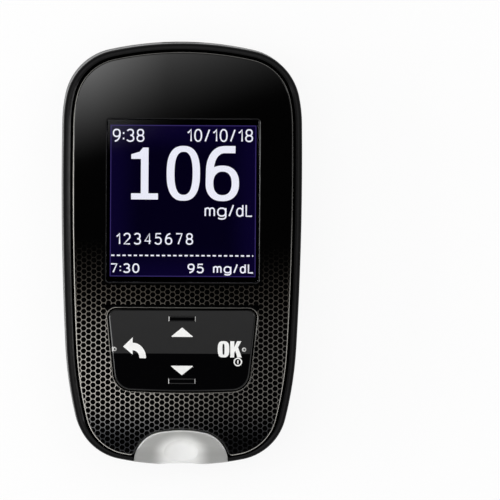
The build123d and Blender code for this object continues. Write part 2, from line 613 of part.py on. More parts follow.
def case_screws():
    """Four self-tapping screws from the back."""
    screws = []
    for x, y in SCREWS:
        head = rod_z(SCREW_HEAD_RADIUS, SCREW_SEAT_Z - SCREW_HEAD_HEIGHT, SCREW_SEAT_Z, x, y)
        shank = rod_z(SCREW_SHANK_RADIUS, SCREW_SEAT_Z - 0.1, SCREW_SEAT_Z + SCREW_LENGTH, x, y)
        recess_z = SCREW_SEAT_Z - SCREW_HEAD_HEIGHT
        cross = block(x - 1.0, x + 1.0, y - 0.22, y + 0.22, recess_z - 1, recess_z + 0.6)
        cross += block(x - 0.22, x + 0.22, y - 1.0, y + 1.0, recess_z - 1, recess_z + 0.6)
        screws.append(head + shank - cross)
    return screws


# ---------------------------------------------------------------- display
def glass_top_z():
    """Under the window's lowest corner."""
    x = WINDOW_WIDTH / 2 - WINDOW_EDGE
    y = WINDOW_Y + WINDOW_LENGTH / 2 - WINDOW_EDGE
    return crown_z(x, y, PLATE_UNDER_Z) - LCD_GAP


def glass_base_z():
    """Top of the lower glass, whose flat cable clears the deck."""
    return min(glass_top_z() - GLASS_TOP_THICKNESS, DECK_Z - LCD_GAP - FLEX_THICKNESS)


def lcd_size():
    """Width, length and middle of the lower glass, which has a ledge for its driver."""
    width = WINDOW_WIDTH - 2 * WINDOW_EDGE + 2 * GLASS_BASE_MARGIN
    length = WINDOW_LENGTH - 2 * WINDOW_EDGE + GLASS_BASE_MARGIN + GLASS_DRIVER_LEDGE
    return width, length, WINDOW_Y - (GLASS_DRIVER_LEDGE - GLASS_BASE_MARGIN) / 2


def lcd_glass():
    """Display cell: a small upper glass on a larger lower one."""
    gap = 2 * (WINDOW_EDGE + LCD_GAP)
    upper = Rectangle(WINDOW_WIDTH - gap, WINDOW_LENGTH - gap)
    width, length, middle = lcd_size()
    z = glass_base_z()
    glass = prism(Pos(0, WINDOW_Y) * upper, z - 0.1, glass_top_z())
    return glass + prism(Pos(0, middle) * Rectangle(width, length), z - GLASS_BASE_THICKNESS, z)


def backlight():
    """Light guide under the glass."""
    width, length, middle = lcd_size()
    top = glass_base_z() - GLASS_BASE_THICKNESS
    guide = Pos(0, middle) * Rectangle(width, length)
    return prism(guide, top - BACKLIGHT_THICKNESS, top)


def lcd_frame():
    """White frame that holds the glass and light guide on the board."""
    width, length, middle = lcd_size()
    wall = 2 * (LCD_FRAME_WALL + LCD_GAP)
    outer = rounded(width + wall, length + wall, 1.0, 0, middle)
    inner = Pos(0, middle) * Rectangle(width + 2 * LCD_GAP, length + 2 * LCD_GAP)
    floor_z = glass_base_z() - GLASS_BASE_THICKNESS - BACKLIGHT_THICKNESS
    frame = prism(outer, BOARD_TOP_Z, glass_base_z())
    frame -= prism(inner, floor_z, HEIGHT)
    frame -= prism(grow(inner, -LCD_FRAME_LIP), BOARD_TOP_Z - 1, HEIGHT)
    edge_y = middle - length / 2
    half = FLEX_WIDTH / 2 + LCD_GAP
    return frame - block(-half, half, edge_y - FAR, edge_y + LCD_FRAME_LIP + 0.5, BOARD_TOP_Z - 1, HEIGHT)


def display_flex():
    """Flat cable from the glass's ledge, round its edge and back under it to the board."""
    width, length, middle = lcd_size()
    edge_y = middle - length / 2
    top_z = glass_base_z() + FLEX_THICKNESS / 2 + 0.02
    low_z = BOARD_TOP_Z + FLEX_THICKNESS / 2 + 0.02
    out_y = edge_y - LCD_FRAME_WALL
    corners = [(edge_y + 1.4, top_z), (out_y, top_z), (out_y, low_z), (out_y + FLEX_TAIL, low_z)]
    ribbon = Plane.YZ * FilletPolyline(corners, radius=FLEX_BEND_RADIUS)
    start = Plane(origin=ribbon @ 0, x_dir=(1, 0, 0), z_dir=(0, -1, 0))
    section = start * Rectangle(FLEX_WIDTH, FLEX_THICKNESS)
    return sweep(section, path=ribbon)


# ---------------------------------------------------------------- key plate and its pivot
def key_ribs():
    """Ribs in the cored-out key plate, from one side wall to the other and from end to end."""
    across = KEY_BOTTOM_WIDTH / 2 - 1
    along = KEY_HEIGHT / 2 - KEY_GAP - KEY_WALL / 2
    gap_x, gap_y = PIVOT_BLOCK / 2 + PIVOT_EAR_GAP, PIVOT_BLOCK / 2 + PIVOT_EAR_GAP
    half = KEY_RIB / 2
    ribs = []
    for side in (-1, 1):
        x0, x1 = sorted((side * (gap_x + PIVOT_EAR_THICKNESS + PIVOT_EAR_GAP), side * across))
        y0, y1 = sorted((side * gap_y, side * along))
        ribs.append((x0, x1, KEY_MID_Y - half, KEY_MID_Y + half))
        ribs.append((-half, half, KEY_MID_Y + y0, KEY_MID_Y + y1))
    return ribs


def key_roof_z(y):
    """Height of the key plate's two slopes."""
    ridge = crown_z(0, KEY_RIDGE_Y) + KEY_PROUD
    return ridge - abs(y - KEY_RIDGE_Y) * math.tan(math.radians(KEY_ROOF_ANGLE))


def under_roof():
    """Everything below the two slopes of the key plate, whose ridge runs along X."""
    low_y, high_y = KEY_RIDGE_Y - KEY_HEIGHT, KEY_RIDGE_Y + KEY_HEIGHT
    corners = [(y, key_roof_z(y)) for y in (low_y, KEY_RIDGE_Y, high_y)]
    corners += [(high_y, 0), (low_y, 0)]
    return extrude(Plane.YZ * make_face(Polyline(corners, close=True)), amount=KEY_TOP_WIDTH, both=True)


def key_plate():
    """One plate for up, down, back and OK, which rocks both ways on the cross below it."""
    ridge = key_roof_z(KEY_RIDGE_Y)
    cap = prism(key_outline(-KEY_GAP), KEY_FLANGE_Z, HEIGHT + 1) & under_roof()
    roof = cap.faces().sort_by(Axis.Z)[-2:]
    rim = [e for f in roof for e in f.edges() if abs(e.center().Z - ridge) > 0.02]
    cap = fillet(rim, KEY_EDGE_ROUND)
    upper_inset, lower_inset = KEY_BAR_INSETS
    for y in (KEY_TOP_Y - upper_inset, KEY_TOP_Y - KEY_HEIGHT + lower_inset):
        low = key_roof_z(y)
        half, wide = KEY_BAR_LENGTH / 2, KEY_BAR_WIDTH / 2
        bar = block(-half, half, y - wide, y + wide, low - 1, low + KEY_BAR_HEIGHT)
        cap += fillet(bar.faces().sort_by(Axis.Z)[-1].edges(), 0.9 * KEY_BAR_HEIGHT)
    for x in KEY_DOTS:
        top = key_roof_z(KEY_DOT_Y) + KEY_DOT_HEIGHT
        cap += Pos(x, KEY_DOT_Y, top - KEY_DOT_RADIUS) * Sphere(KEY_DOT_RADIUS)
    cap += prism(key_outline(KEY_FLANGE), KEY_FLANGE_Z, KEY_FLANGE_TOP_Z)
    inner_z = ridge - KEY_ROOF_THICKNESS
    cap -= prism(key_outline(-KEY_GAP - KEY_WALL), KEY_FLANGE_Z - 1, inner_z)
    for x, y in press_points():
        cap += rod_z(KEY_POST_RADIUS + 0.3, KEY_FLANGE_Z, inner_z + 0.1, x, y)
    for x0, x1, y0, y1 in key_ribs():
        cap += block(x0, x1, y0, y1, KEY_FLANGE_Z, inner_z + 0.1)
    ear_y0 = PIVOT_BLOCK / 2 + PIVOT_EAR_GAP
    half = PIVOT_EAR_WIDTH / 2
    ear_low = PIVOT_Z - PIVOT_PIN_RADIUS - 0.35
    for side in (-1, 1):
        y0, y1 = sorted((side * ear_y0, side * (ear_y0 + PIVOT_EAR_THICKNESS)))
        cap += block(-half, half, KEY_MID_Y + y0, KEY_MID_Y + y1, ear_low, inner_z + 0.1)
    reach = ear_y0 + PIVOT_EAR_THICKNESS + 1
    return cap - rod_y(PIVOT_PIN_RADIUS + PIVOT_PIN_GAP, KEY_MID_Y - reach, KEY_MID_Y + reach, 0, PIVOT_Z)


def key_cross():
    """Small cross with a pair of pins along X and a pair along Y."""
    half, tall = PIVOT_BLOCK / 2, PIVOT_BLOCK_HEIGHT / 2
    reach = half + PIVOT_EAR_GAP + PIVOT_EAR_THICKNESS
    body = block(-half, half, KEY_MID_Y - half, KEY_MID_Y + half, PIVOT_Z - tall, PIVOT_Z + tall)
    body += rod_x(PIVOT_PIN_RADIUS, -reach, reach, KEY_MID_Y, PIVOT_Z)
    return body + rod_y(PIVOT_PIN_RADIUS, KEY_MID_Y - reach, KEY_MID_Y + reach, 0, PIVOT_Z)


def key_bracket():
    """Stand on the board whose two ears carry the cross's X pins."""
    ear_x = PIVOT_BLOCK / 2 + PIVOT_EAR_GAP
    outer = ear_x + PIVOT_EAR_THICKNESS
    half, base_half = PIVOT_EAR_WIDTH / 2, PIVOT_BLOCK / 2 - 0.1
    y0, y1 = KEY_MID_Y - base_half, KEY_MID_Y + base_half
    stand = block(-outer, outer, y0, y1, BOARD_TOP_Z, BOARD_TOP_Z + PIVOT_BASE_THICKNESS)
    ear_top = PIVOT_Z + PIVOT_PIN_RADIUS + 0.2
    for side in (-1, 1):
        x0, x1 = sorted((side * ear_x, side * outer))
        stand += block(x0, x1, KEY_MID_Y - half, KEY_MID_Y + half, BOARD_TOP_Z, ear_top)
    return stand - rod_x(PIVOT_PIN_RADIUS + PIVOT_PIN_GAP, -outer - 1, outer + 1, KEY_MID_Y, PIVOT_Z)


def press_points():
    """Where the four presses land: up, down, back and OK."""
    along, across = KEY_PRESS_ALONG, KEY_PRESS_ACROSS
    return [(0, KEY_MID_Y + along), (0, KEY_MID_Y - along), (-across, KEY_MID_Y), (across, KEY_MID_Y)]


def key_mat():
    """Silicone mat with a post over each snap dome."""
    top = BOARD_TOP_Z + KEY_MAT_THICKNESS
    mat = prism(key_outline(KEY_FLANGE - KEY_MAT_CLEARANCE), BOARD_TOP_Z, top)
    window = rounded(PIVOT_WINDOW, 2 * (KEY_PRESS_ALONG - DOME_RADIUS - 0.5), 0.8, 0, KEY_MID_Y)
    mat -= prism(window, BOARD_TOP_Z - 1, HEIGHT)
    post_top = KEY_FLANGE_Z - KEY_POST_GAP
    for x, y in press_points():
        mat += rod_z(KEY_POST_RADIUS, BOARD_TOP_Z, post_top, x, y)
        mat -= rod_z(DOME_RADIUS + 0.15, BOARD_TOP_Z - 1, BOARD_TOP_Z + DOME_HEIGHT + 0.1, x, y)
    return mat


def key_domes():
    """Four thin metal snap domes on the board."""
    base = BOARD_TOP_Z + 0.01
    curve = (DOME_RADIUS**2 + DOME_HEIGHT**2) / (2 * DOME_HEIGHT)
    domes = []
    for x, y in press_points():
        centre = base + DOME_HEIGHT - curve
        shell = Pos(x, y, centre) * (Sphere(curve) - Sphere(curve - DOME_THICKNESS))
        domes.append(shell & rod_z(DOME_RADIUS, base, base + DOME_HEIGHT + 0.2, x, y))
    return domes


# ---------------------------------------------------------------- board and what is on it
def main_board():
    """Circuit board, cut away for the screw bosses and the strip port."""
    outline = case_outline(WALL + BOARD_CLEARANCE) - port_outline(PORT_GAP)
    board = prism(outline, BOARD_Z, BOARD_TOP_Z)
    for x, y in SCREWS:
        board -= rod_z(FRONT_BOSS_RADIUS + SCREW_GAP, BOARD_Z - 1, BOARD_TOP_Z + 1, x, y)
    return board


def circuit_chips():
    """Processor, memory, measuring chip, radio module and crystal under the board."""
    chips = [PROCESSOR, MEMORY, MEASURING_CHIP, RADIO, CRYSTAL, REGULATOR]
    return [Pos(x, y, BOARD_Z - high / 2) * Box(wide, deep, high) for x, y, wide, deep, high in chips]


def small_components():
    """Rows of resistors and capacitors under the board."""
    rows = [(LEFT_ROW, LEFT_COUNT), (RIGHT_ROW, RIGHT_COUNT), (LOWER_ROW, LOWER_COUNT)]
    z = BOARD_Z - COMPONENT_SIZE[2] / 2
    found = []
    for (x, y), count in rows:
        found += [Pos(x, y - COMPONENT_PITCH * i, z) * Box(*COMPONENT_SIZE) for i in range(count)]
    return found


def beeper():
    """Round sounder under the board."""
    return rod_z(BEEPER_RADIUS, BOARD_Z - BEEPER_HEIGHT, BOARD_Z, *BEEPER_PLACE)


def usb_shell():
    """Plated shell of the USB socket, open at the top end."""
    y1 = TOP_Y - USB_SET_BACK
    half = USB_WIDTH / 2
    shell = block(-half, half, y1 - USB_LENGTH, y1, BOARD_Z - USB_HEIGHT, BOARD_Z)
    keyed = [e for e in shell.edges().filter_by(Axis.Y) if e.center().Z < BOARD_Z - 0.1]
    shell = chamfer(keyed, 0.6)
    cavity = block(
        -half + USB_WALL, half - USB_WALL, y1 - USB_LENGTH + USB_WALL, y1 + 1,
        BOARD_Z - USB_HEIGHT + USB_WALL, BOARD_Z - USB_WALL,
    )
    keyed = [e for e in cavity.edges().filter_by(Axis.Y) if e.center().Z < BOARD_Z - 1]
    return shell - chamfer(keyed, 0.45)


def usb_tongue():
    """Insulating tongue with its contacts inside the USB socket."""
    y1 = TOP_Y - USB_SET_BACK
    half = USB_TONGUE_WIDTH / 2
    z1 = BOARD_Z - USB_WALL - 0.45
    y0 = y1 - USB_LENGTH + USB_WALL
    tongue = block(-half, half, y0, y1 - 0.8, z1 - USB_TONGUE_THICKNESS, z1)
    root = block(-half, half, y0, y0 + 1.2, BOARD_Z - USB_HEIGHT + USB_WALL, BOARD_Z - USB_WALL)
    return tongue + root


def connector_top_z():
    return STRIP_Z + STRIP_SLOT_HEIGHT / 2


def strip_connector():
    """Housing under the board that takes the inner end of the test strip."""
    half = STRIP_WIDTH / 2 + 0.4
    slot = STRIP_SLOT_HEIGHT / 2
    outer = half + CONNECTOR_WALL
    body = block(-outer, outer, CONNECTOR_Y0, CONNECTOR_Y1, STRIP_Z - slot - 0.9, BOARD_Z)
    body -= block(-half, half, CONNECTOR_Y0 - 1, CONNECTOR_Y1 + 1, STRIP_Z - slot, connector_top_z())
    for x in contact_places():
        groove = CONTACT_WIDTH / 2 + 0.1
        body -= block(x - groove, x + groove, CONNECTOR_Y0 + 1, CONNECTOR_Y1 - 0.6, STRIP_Z, BOARD_Z - 0.3)
    return body


def contact_places():
    middle = (CONTACT_COUNT - 1) / 2
    return [(i - middle) * CONTACT_PITCH for i in range(CONTACT_COUNT)]


def strip_contacts():
    """Bowed gold springs that press on the test strip."""
    y0 = CONNECTOR_Y0 + 1.6
    low, high = connector_top_z() - 0.15, BOARD_Z - 0.45
    springs = []
    for x in contact_places():
        spring = bowed_leaf(y0, y0 + CONTACT_LENGTH, high, low, CONTACT_WIDTH, CONTACT_THICKNESS)
        springs.append(Pos(x, 0, 0) * spring)
    return springs


def port_lights():
    """Two small lamps beside the strip connector, behind the port cover."""
    lamp = (1.6, 0.8, 0.7)
    x = STRIP_WIDTH / 2 + 0.4 + CONNECTOR_WALL + lamp[0]
    return [Pos(s * x, CONNECTOR_Y0 + 1.2, BOARD_Z - lamp[2] / 2) * Box(*lamp) for s in (-1, 1)]


# ---------------------------------------------------------------- strip ejector
def ejector_button():
    """Ribbed thumb slide in the back, with the stem that holds its carriage."""
    half = BUTTON_WIDTH / 2
    z1 = BUTTON_SINK + BUTTON_THICKNESS
    button = prism(rounded(BUTTON_WIDTH, BUTTON_LENGTH, 0.9, 0, BUTTON_Y), BUTTON_SINK, z1)
    for i in range(BUTTON_RIBS):
        y = BUTTON_Y + (i - (BUTTON_RIBS - 1) / 2) * BUTTON_LENGTH / (BUTTON_RIBS + 1)
        button -= block(-half + 1.2, half - 1.2, y - 0.25, y + 0.25, -1, BUTTON_SINK + BUTTON_RIB_DEPTH)
    stem_x, stem_y = STEM_WIDTH / 2, STEM_LENGTH / 2
    return button + block(-stem_x, stem_x, BUTTON_Y - stem_y, BUTTON_Y + stem_y, z1 - 0.1, CARRIAGE_Z)


def ejector_carriage():
    """Carriage on rails inside the case, with a yoke whose two prongs push the strip out."""
    half = CARRIAGE_WIDTH / 2
    top = CARRIAGE_Z + CARRIAGE_THICKNESS
    body = block(-half, half, CARRIAGE_Y0, YOKE_Y1, CARRIAGE_Z, top)
    slot = STRIP_SLOT_HEIGHT / 2 - 0.1
    column = COLUMN_WIDTH / 2
    body += block(-column, column, YOKE_Y0, YOKE_Y1, top - 0.1, STRIP_Z + slot)
    prong_x = STRIP_WIDTH / 2 + 0.25
    body += block(-prong_x, prong_x, YOKE_Y0, YOKE_Y1, STRIP_Z - slot, STRIP_Z + slot)
    prong_y0 = CONNECTOR_Y1 - PRONG_ENTRY
    for side in (-1, 1):
        x0, x1 = sorted((side * (prong_x - PRONG_WIDTH), side * prong_x))
        body += block(x0, x1, prong_y0, YOKE_Y0 + 0.1, STRIP_Z - slot, STRIP_Z + slot)
    seat = SPRING_RADIUS + 0.5
    return body + block(-seat, seat, CARRIAGE_Y0, CARRIAGE_Y0 + 1.0, top - 0.1, SPRING_SEAT_Z)


def ejector_spring():
    """Small coil spring that brings the ejector back."""
    length = SPRING_LENGTH - SPRING_WIRE
    coil = Helix(pitch=length / SPRING_TURNS, height=length, radius=SPRING_RADIUS)
    section = Plane(origin=coil @ 0, z_dir=coil % 0) * Circle(SPRING_WIRE / 2)
    wire = sweep(section, path=coil, is_frenet=True)
    return Pos(0, SPRING_STOP_Y + SPRING_WIRE / 2 + length, SPRING_Z) * Rot(90, 0, 0) * wire


# ---------------------------------------------------------------- cells and battery door
def cell_centres():
    return [BAY_Y + CELL_OFFSET, BAY_Y - CELL_OFFSET]


def coin_cell(y):
    """Coin cell: can with a rolled rim round the smaller cap, hollow inside its wall."""
    rim_z = CELL_Z + CELL_THICKNESS - 0.3
    can = rod_z(CELL_RADIUS, CELL_Z, rim_z, 0, y)
    can = fillet(can.edges().sort_by(Axis.Z)[:1], 0.4)
    cap = rod_z(CELL_RADIUS - 1.2, rim_z - 0.1, CELL_Z + CELL_THICKNESS, 0, y)
    return can + cap - rod_z(CELL_RADIUS - CELL_WALL, CELL_Z + CELL_WALL, rim_z - CELL_WALL, 0, y)


def battery_contact_negative():
    """A bowed leaf over each cell, with a leg up to the board."""
    low = CELL_Z + CELL_THICKNESS + 0.02 + SPRING_LEAF_THICKNESS / 2
    high = BAY_CEILING_Z - SPRING_LEAF_THICKNESS
    half = SPRING_LEAF_LENGTH / 2
    leaves = []
    for y in cell_centres():
        leaf = bowed_leaf(y - half, y + half, low, high, SPRING_LEAF_WIDTH, SPRING_LEAF_THICKNESS)
        leaves.append(leaf + block(-1.0, 1.0, y - 0.15, y + 0.15, high, BOARD_Z))
    return leaves


def side_contact_places():
    """X, Y and direction of the two strips, each beside its own cell in the waist of the bay."""
    reach = CELL_RADIUS + SIDE_CONTACT_THICKNESS / 2 + 0.02
    places = []
    for y, angle in zip(cell_centres(), (-SIDE_CONTACT_ANGLE, 180 - SIDE_CONTACT_ANGLE)):
        turn = math.radians(angle)
        places.append((reach * math.cos(turn), y + reach * math.sin(turn), angle))
    return places


def battery_contact_positive():
    """An upright strip against the side of each cell, with a leg up to the board."""
    half, thick = SIDE_CONTACT_LENGTH / 2, SIDE_CONTACT_THICKNESS / 2
    strip = block(-thick, thick, -half, half, CELL_Z + 0.3, BAY_CEILING_Z - 0.3)
    strip += block(-thick, thick, -1.0, 1.0, BAY_CEILING_Z - 0.4, BOARD_Z)
    return [Pos(x, y) * Rot(0, 0, angle) * strip for x, y, angle in side_contact_places()]


def battery_door():
    """Flush door on two hinge pins, with a springy latch tongue at its free end."""
    neck_y = HINGE_Y - BARREL_RADIUS - BARREL_CLEARANCE - DOOR_GAP
    length = neck_y - DOOR_END_Y
    outline = rounded(DOOR_WIDTH, length, DOOR_CORNER_RADIUS, 0, DOOR_END_Y + length / 2)
    outline += Pos(0, neck_y) * Rectangle(BARREL_LENGTH, 2 * (HINGE_Y - neck_y))
    outline &= Pos(0, HINGE_Y - FAR) * Rectangle(2 * FAR, 2 * FAR)
    door = prism(outline, DOOR_SINK, DOOR_INNER_Z)
    door += rod_x(BARREL_RADIUS, -BARREL_LENGTH / 2, BARREL_LENGTH / 2, HINGE_Y, HINGE_Z)
    pin_x = BARREL_LENGTH / 2 + HINGE_PIN_LENGTH
    door += rod_x(HINGE_PIN_RADIUS, -pin_x, pin_x, HINGE_Y, HINGE_Z)
    for y in cell_centres():
        door += rod_z(DOOR_PAD_RADIUS, DOOR_INNER_Z - 0.1, CELL_Z - DOOR_PAD_GAP, 0, y)
    for side in (-1, 1):
        x0, x1 = sorted((side * LATCH_WIDTH / 2, side * (LATCH_WIDTH / 2 + LATCH_SLOT)))
        door -= block(x0, x1, DOOR_END_Y - 1, DOOR_END_Y + LATCH_LENGTH, -1, DOOR_INNER_Z + 1)
    for i in range(3):
        y = DOOR_END_Y + 1.2 + 1.0 * i
        door -= block(-LATCH_WIDTH / 2 + 1, LATCH_WIDTH / 2 - 1, y - 0.2, y + 0.2, -1, DOOR_SINK + 0.3)
    return door


NODES = {
    "front_case": front_case,
    "rear_case": rear_case,
    "face_plate": face_plate,
    "display_window": display_window,
    "port_cover": port_cover,
    "case_screws": case_screws,
    "lcd_glass": lcd_glass,
    "backlight": backlight,
    "lcd_frame": lcd_frame,
    "display_flex": display_flex,
    "key_plate": key_plate,
    "key_cross": key_cross,
    "key_bracket": key_bracket,
    "key_mat": key_mat,
    "key_domes": key_domes,
    "main_board": main_board,
    "circuit_chips": circuit_chips,
    "small_components": small_components,
    "beeper": beeper,
    "usb_shell": usb_shell,
    "usb_tongue": usb_tongue,
    "strip_connector": strip_connector,
    "strip_contacts": strip_contacts,
    "port_lights": port_lights,
    "ejector_button": ejector_button,
    "ejector_carriage": ejector_carriage,
    "ejector_spring": ejector_spring,
    "battery_cell_upper": lambda: coin_cell(cell_centres()[0]),
    "battery_cell_lower": lambda: coin_cell(cell_centres()[1]),
    "battery_contact_negative": battery_contact_negative,
    "battery_contact_positive": battery_contact_positive,
    "battery_door": battery_door,
}

os.makedirs("parts", exist_ok=True)
for name, make in NODES.items():
    made = make()
    shape = Compound(children=list(made)) if isinstance(made, list) else made
    export_step(shape, f"parts/{name}.step")
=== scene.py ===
import math

import bpy
from mathutils import Matrix, Vector


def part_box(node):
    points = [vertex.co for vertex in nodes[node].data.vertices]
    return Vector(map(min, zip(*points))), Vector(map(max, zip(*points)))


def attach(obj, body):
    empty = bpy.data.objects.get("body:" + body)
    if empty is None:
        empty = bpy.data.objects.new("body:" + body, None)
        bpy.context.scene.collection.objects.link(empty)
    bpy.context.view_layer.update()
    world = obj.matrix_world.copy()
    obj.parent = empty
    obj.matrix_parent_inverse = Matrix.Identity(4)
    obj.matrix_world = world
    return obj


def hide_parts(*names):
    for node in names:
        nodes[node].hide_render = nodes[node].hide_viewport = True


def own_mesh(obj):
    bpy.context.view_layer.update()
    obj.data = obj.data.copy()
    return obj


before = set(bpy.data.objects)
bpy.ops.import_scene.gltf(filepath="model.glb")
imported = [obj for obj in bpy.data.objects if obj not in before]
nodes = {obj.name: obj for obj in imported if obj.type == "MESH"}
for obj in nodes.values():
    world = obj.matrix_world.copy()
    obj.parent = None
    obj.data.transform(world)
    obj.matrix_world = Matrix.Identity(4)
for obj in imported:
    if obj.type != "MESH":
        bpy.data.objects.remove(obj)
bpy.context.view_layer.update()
mm = 0.001


# one value of a hex colour, from sRGB to linear
def linear(value):
    return value / 12.92 if value <= 0.04045 else ((value + 0.055) / 1.055) ** 2.4


def colour(hexText):
    return [linear(int(hexText[i:i + 2], 16) / 255) for i in (0, 2, 4)] + [1.0]


# a node with its settings, the values of its sockets and what is linked into them
def addNode(tree, kind, values=None, links=None, **settings):
    node = tree.nodes.new(kind)
    for name, value in settings.items():
        setattr(node, name, value)
    for socket, value in (values or {}).items():
        node.inputs[socket].default_value = value
    for socket, source in (links or {}).items():
        tree.links.new(source, node.inputs[socket])
    return node


# an operation on one or two numbers, each of them a value or a socket
def math2(tree, operation, a, b=0.0):
    ways = [(i, v) for i, v in enumerate((a, b))]
    values = {i: v for i, v in ways if isinstance(v, (int, float))}
    links = {i: v for i, v in ways if not isinstance(v, (int, float))}
    return addNode(tree, "ShaderNodeMath", values, links, operation=operation).outputs[0]


def product(tree, first, *others):
    for other in others:
        first = math2(tree, "MULTIPLY", first, other)
    return first


def below(tree, source, limit):
    return math2(tree, "LESS_THAN", source, limit)


def beyond(tree, source, limit):
    return math2(tree, "GREATER_THAN", source, limit)


# how far a number is from a value, to either side
def distance(tree, source, value=0.0):
    if value:
        source = math2(tree, "SUBTRACT", source, value)
    return math2(tree, "ABSOLUTE", source)


# an operation on a vector and the fixed vectors that it needs
def vectorMath(tree, operation, source, *fixed):
    node = addNode(tree, "ShaderNodeVectorMath", dict(enumerate(fixed, 1)), {0: source}, operation=operation)
    return node.outputs["Value" if operation in ("DOT_PRODUCT", "LENGTH") else "Vector"]


def along(tree, vector, direction):
    return vectorMath(tree, "DOT_PRODUCT", vector, direction)


def acrossAndUp(tree, vector):
    return along(tree, vector, [1, 0, 0]), along(tree, vector, [0, 1, 0])


# goes from one value to another as the source goes from start to end
def ramp(tree, source, start, end, low=0.0, high=1.0, way="SMOOTHSTEP"):
    return addNode(tree, "ShaderNodeMapRange", {"From Min": start, "From Max": end, "To Min": low, "To Max": high},
                   {"Value": source}, interpolation_type=way).outputs[0]


# mixes two colours, each of them a list or a socket
def mixColour(tree, factor, a, b):
    values, links = {}, {"Factor": factor}
    for name, value in (("A", a), ("B", b)):
        (values if isinstance(value, list) else links)[name] = value
    return addNode(tree, "ShaderNodeMix", values, links, data_type="RGBA").outputs["Result"]


def noise(tree, place, size, detail=2.0):
    return addNode(tree, "ShaderNodeTexNoise", {"Scale": 1 / size, "Detail": detail}, {"Vector": place}).outputs[0]


def addBump(tree, shader, height, strength, depth):
    bump = addNode(tree, "ShaderNodeBump", {"Strength": strength, "Distance": depth}, {"Height": height})
    tree.links.new(bump.outputs[0], shader.inputs["Normal"])


# a new material, its tree, its shader and the place of each point in metres
def newFinish(name, **sockets):
    finish = bpy.data.materials.new(name)
    finish.use_nodes = True
    tree = finish.node_tree
    shader = tree.nodes["Principled BSDF"]
    for socket, value in sockets.items():
        shader.inputs[socket.replace("_", " ")].default_value = value
    place = addNode(tree, "ShaderNodeTexCoord").outputs["Object"]
    return finish, tree, shader, place


def paint(finish, *names):
    for name in names:
        mesh = nodes[name].data
        mesh.materials.clear()
        mesh.materials.append(finish)


crown = {
    "top": 20.0 * mm,           # height of the arched front at its middle
    "acrossRadius": 220.0 * mm,
    "alongRadius": 420.0 * mm,
    "steepest": 0.988,          # upward share of the normal, as small as it gets on the arch itself
}


# how far a point lies below the arched front
def belowCrown(tree, place):
    squares = addNode(tree, "ShaderNodeVectorMath", {}, {0: place, 1: place}, operation="MULTIPLY").outputs[0]
    drop = along(tree, squares, [0.5 / crown["acrossRadius"], 0.5 / crown["alongRadius"], 0])
    reached = math2(tree, "ADD", along(tree, place, [0, 0, 1]), drop)
    return math2(tree, "SUBTRACT", crown["top"], reached)


# the share of the surface's normal that points in a direction
def facing(tree, direction=(0, 0, 1)):
    return along(tree, addNode(tree, "ShaderNodeNewGeometry").outputs["Normal"], direction)


# the slope of the arch itself wherever the surface is part of it, which leaves no facets in its reflections
def archNormal(tree, place):
    geometry = addNode(tree, "ShaderNodeNewGeometry")
    onArch = beyond(tree, along(tree, geometry.outputs["True Normal"], [0, 0, 1]), crown["steepest"])
    slope = [1 / crown["acrossRadius"], 1 / crown["alongRadius"], 0]
    smooth = vectorMath(tree, "NORMALIZE", vectorMath(tree, "MULTIPLY_ADD", place, slope, [0, 0, 1]))
    return addNode(tree, "ShaderNodeMix", {}, {"Factor": onArch, "A": geometry.outputs["Normal"], "B": smooth},
                   data_type="VECTOR").outputs["Result"]


mouldSkin = {
    "wave": 2.2 * mm,
    "depth": 0.02 * mm,
    "strength": 0.02,
    "spread": (0.8, 1.3),       # of the roughness, as shares of it
}


# plastic from a polished mould: mirror-like, with the faint waviness of a moulded skin
def polished(name, shade, rough, ior):
    finish, tree, shader, place = newFinish(name, Base_Color=colour(shade), IOR=ior)
    wave = noise(tree, place, mouldSkin["wave"])
    uneven = ramp(tree, wave, 0, 1, *[rough * share for share in mouldSkin["spread"]])
    tree.links.new(uneven, shader.inputs["Roughness"])
    addBump(tree, shader, wave, mouldSkin["strength"], mouldSkin["depth"])
    return finish, tree, shader, place


caseGloss = {
    "shade": "060607",
    "rough": 0.2,
    "ior": 1.45,
    "shine": (0.5, 0.9, 0.01, 0.3),         # how squarely it is seen, from and to, and the specular level at both
    # the seat is painted darker: painted shade at the bottom of the groove
    "seatPaintedShade": "020202",      # the seat of the face plate is dull
    "seatRough": 0.9,
    "seatDepth": (0.9 * mm, 1.1 * mm),      # it begins this far below the arch
    "seatLevel": (0.8, 0.88),               # and only where the surface is this level
}


# black ABS, glossy seen from above and satin at a low angle, with a dull seat for the face plate that is painted
# darker as shade in the groove
def caseAbs():
    finish, tree, shader, place = polished("caseAbs", caseGloss["shade"], caseGloss["rough"], caseGloss["ior"])
    seat = product(tree, ramp(tree, belowCrown(tree, place), *caseGloss["seatDepth"]),
                   ramp(tree, facing(tree), *caseGloss["seatLevel"]))
    uneven = shader.inputs["Roughness"].links[0].from_socket
    rough = addNode(tree, "ShaderNodeMix", {"B": caseGloss["seatRough"]}, {"Factor": seat, "A": uneven}).outputs[0]
    tree.links.new(rough, shader.inputs["Roughness"])
    away = addNode(tree, "ShaderNodeLayerWeight", {"Blend": 0.5}).outputs["Facing"]
    shine = ramp(tree, math2(tree, "SUBTRACT", 1.0, away), *caseGloss["shine"])
    tree.links.new(product(tree, ramp(tree, seat, 0, 1, 1.0, 0.0), shine), shader.inputs["Specular IOR Level"])
    base = mixColour(tree, seat, colour(caseGloss["shade"]), colour(caseGloss["seatPaintedShade"]))
    tree.links.new(base, shader.inputs["Base Color"])
    return finish


keyGloss = {
    "shade": "050506",
    "rough": 0.05,
    "ior": 1.75,
    # pale colour for the bar ends and dot rounds: a painted highlight
    "paintedGlint": "d8d8d6",
    "barReach": 3.3 * mm,       # how far the feel bars reach from the middle
    "barTurn": (0.25, 0.5),     # sideways share of the normal at their ends
    "dotsMiddle": (-0.525 * mm, -18.1 * mm),    # half way between the two feel dots
    "dotReach": 12.425 * mm,    # from there to each of them
    "dotHalf": 0.5 * mm,        # half the size of a dot
    "dotTurn": (0.97, 0.85),    # upward share of the normal round its top
}
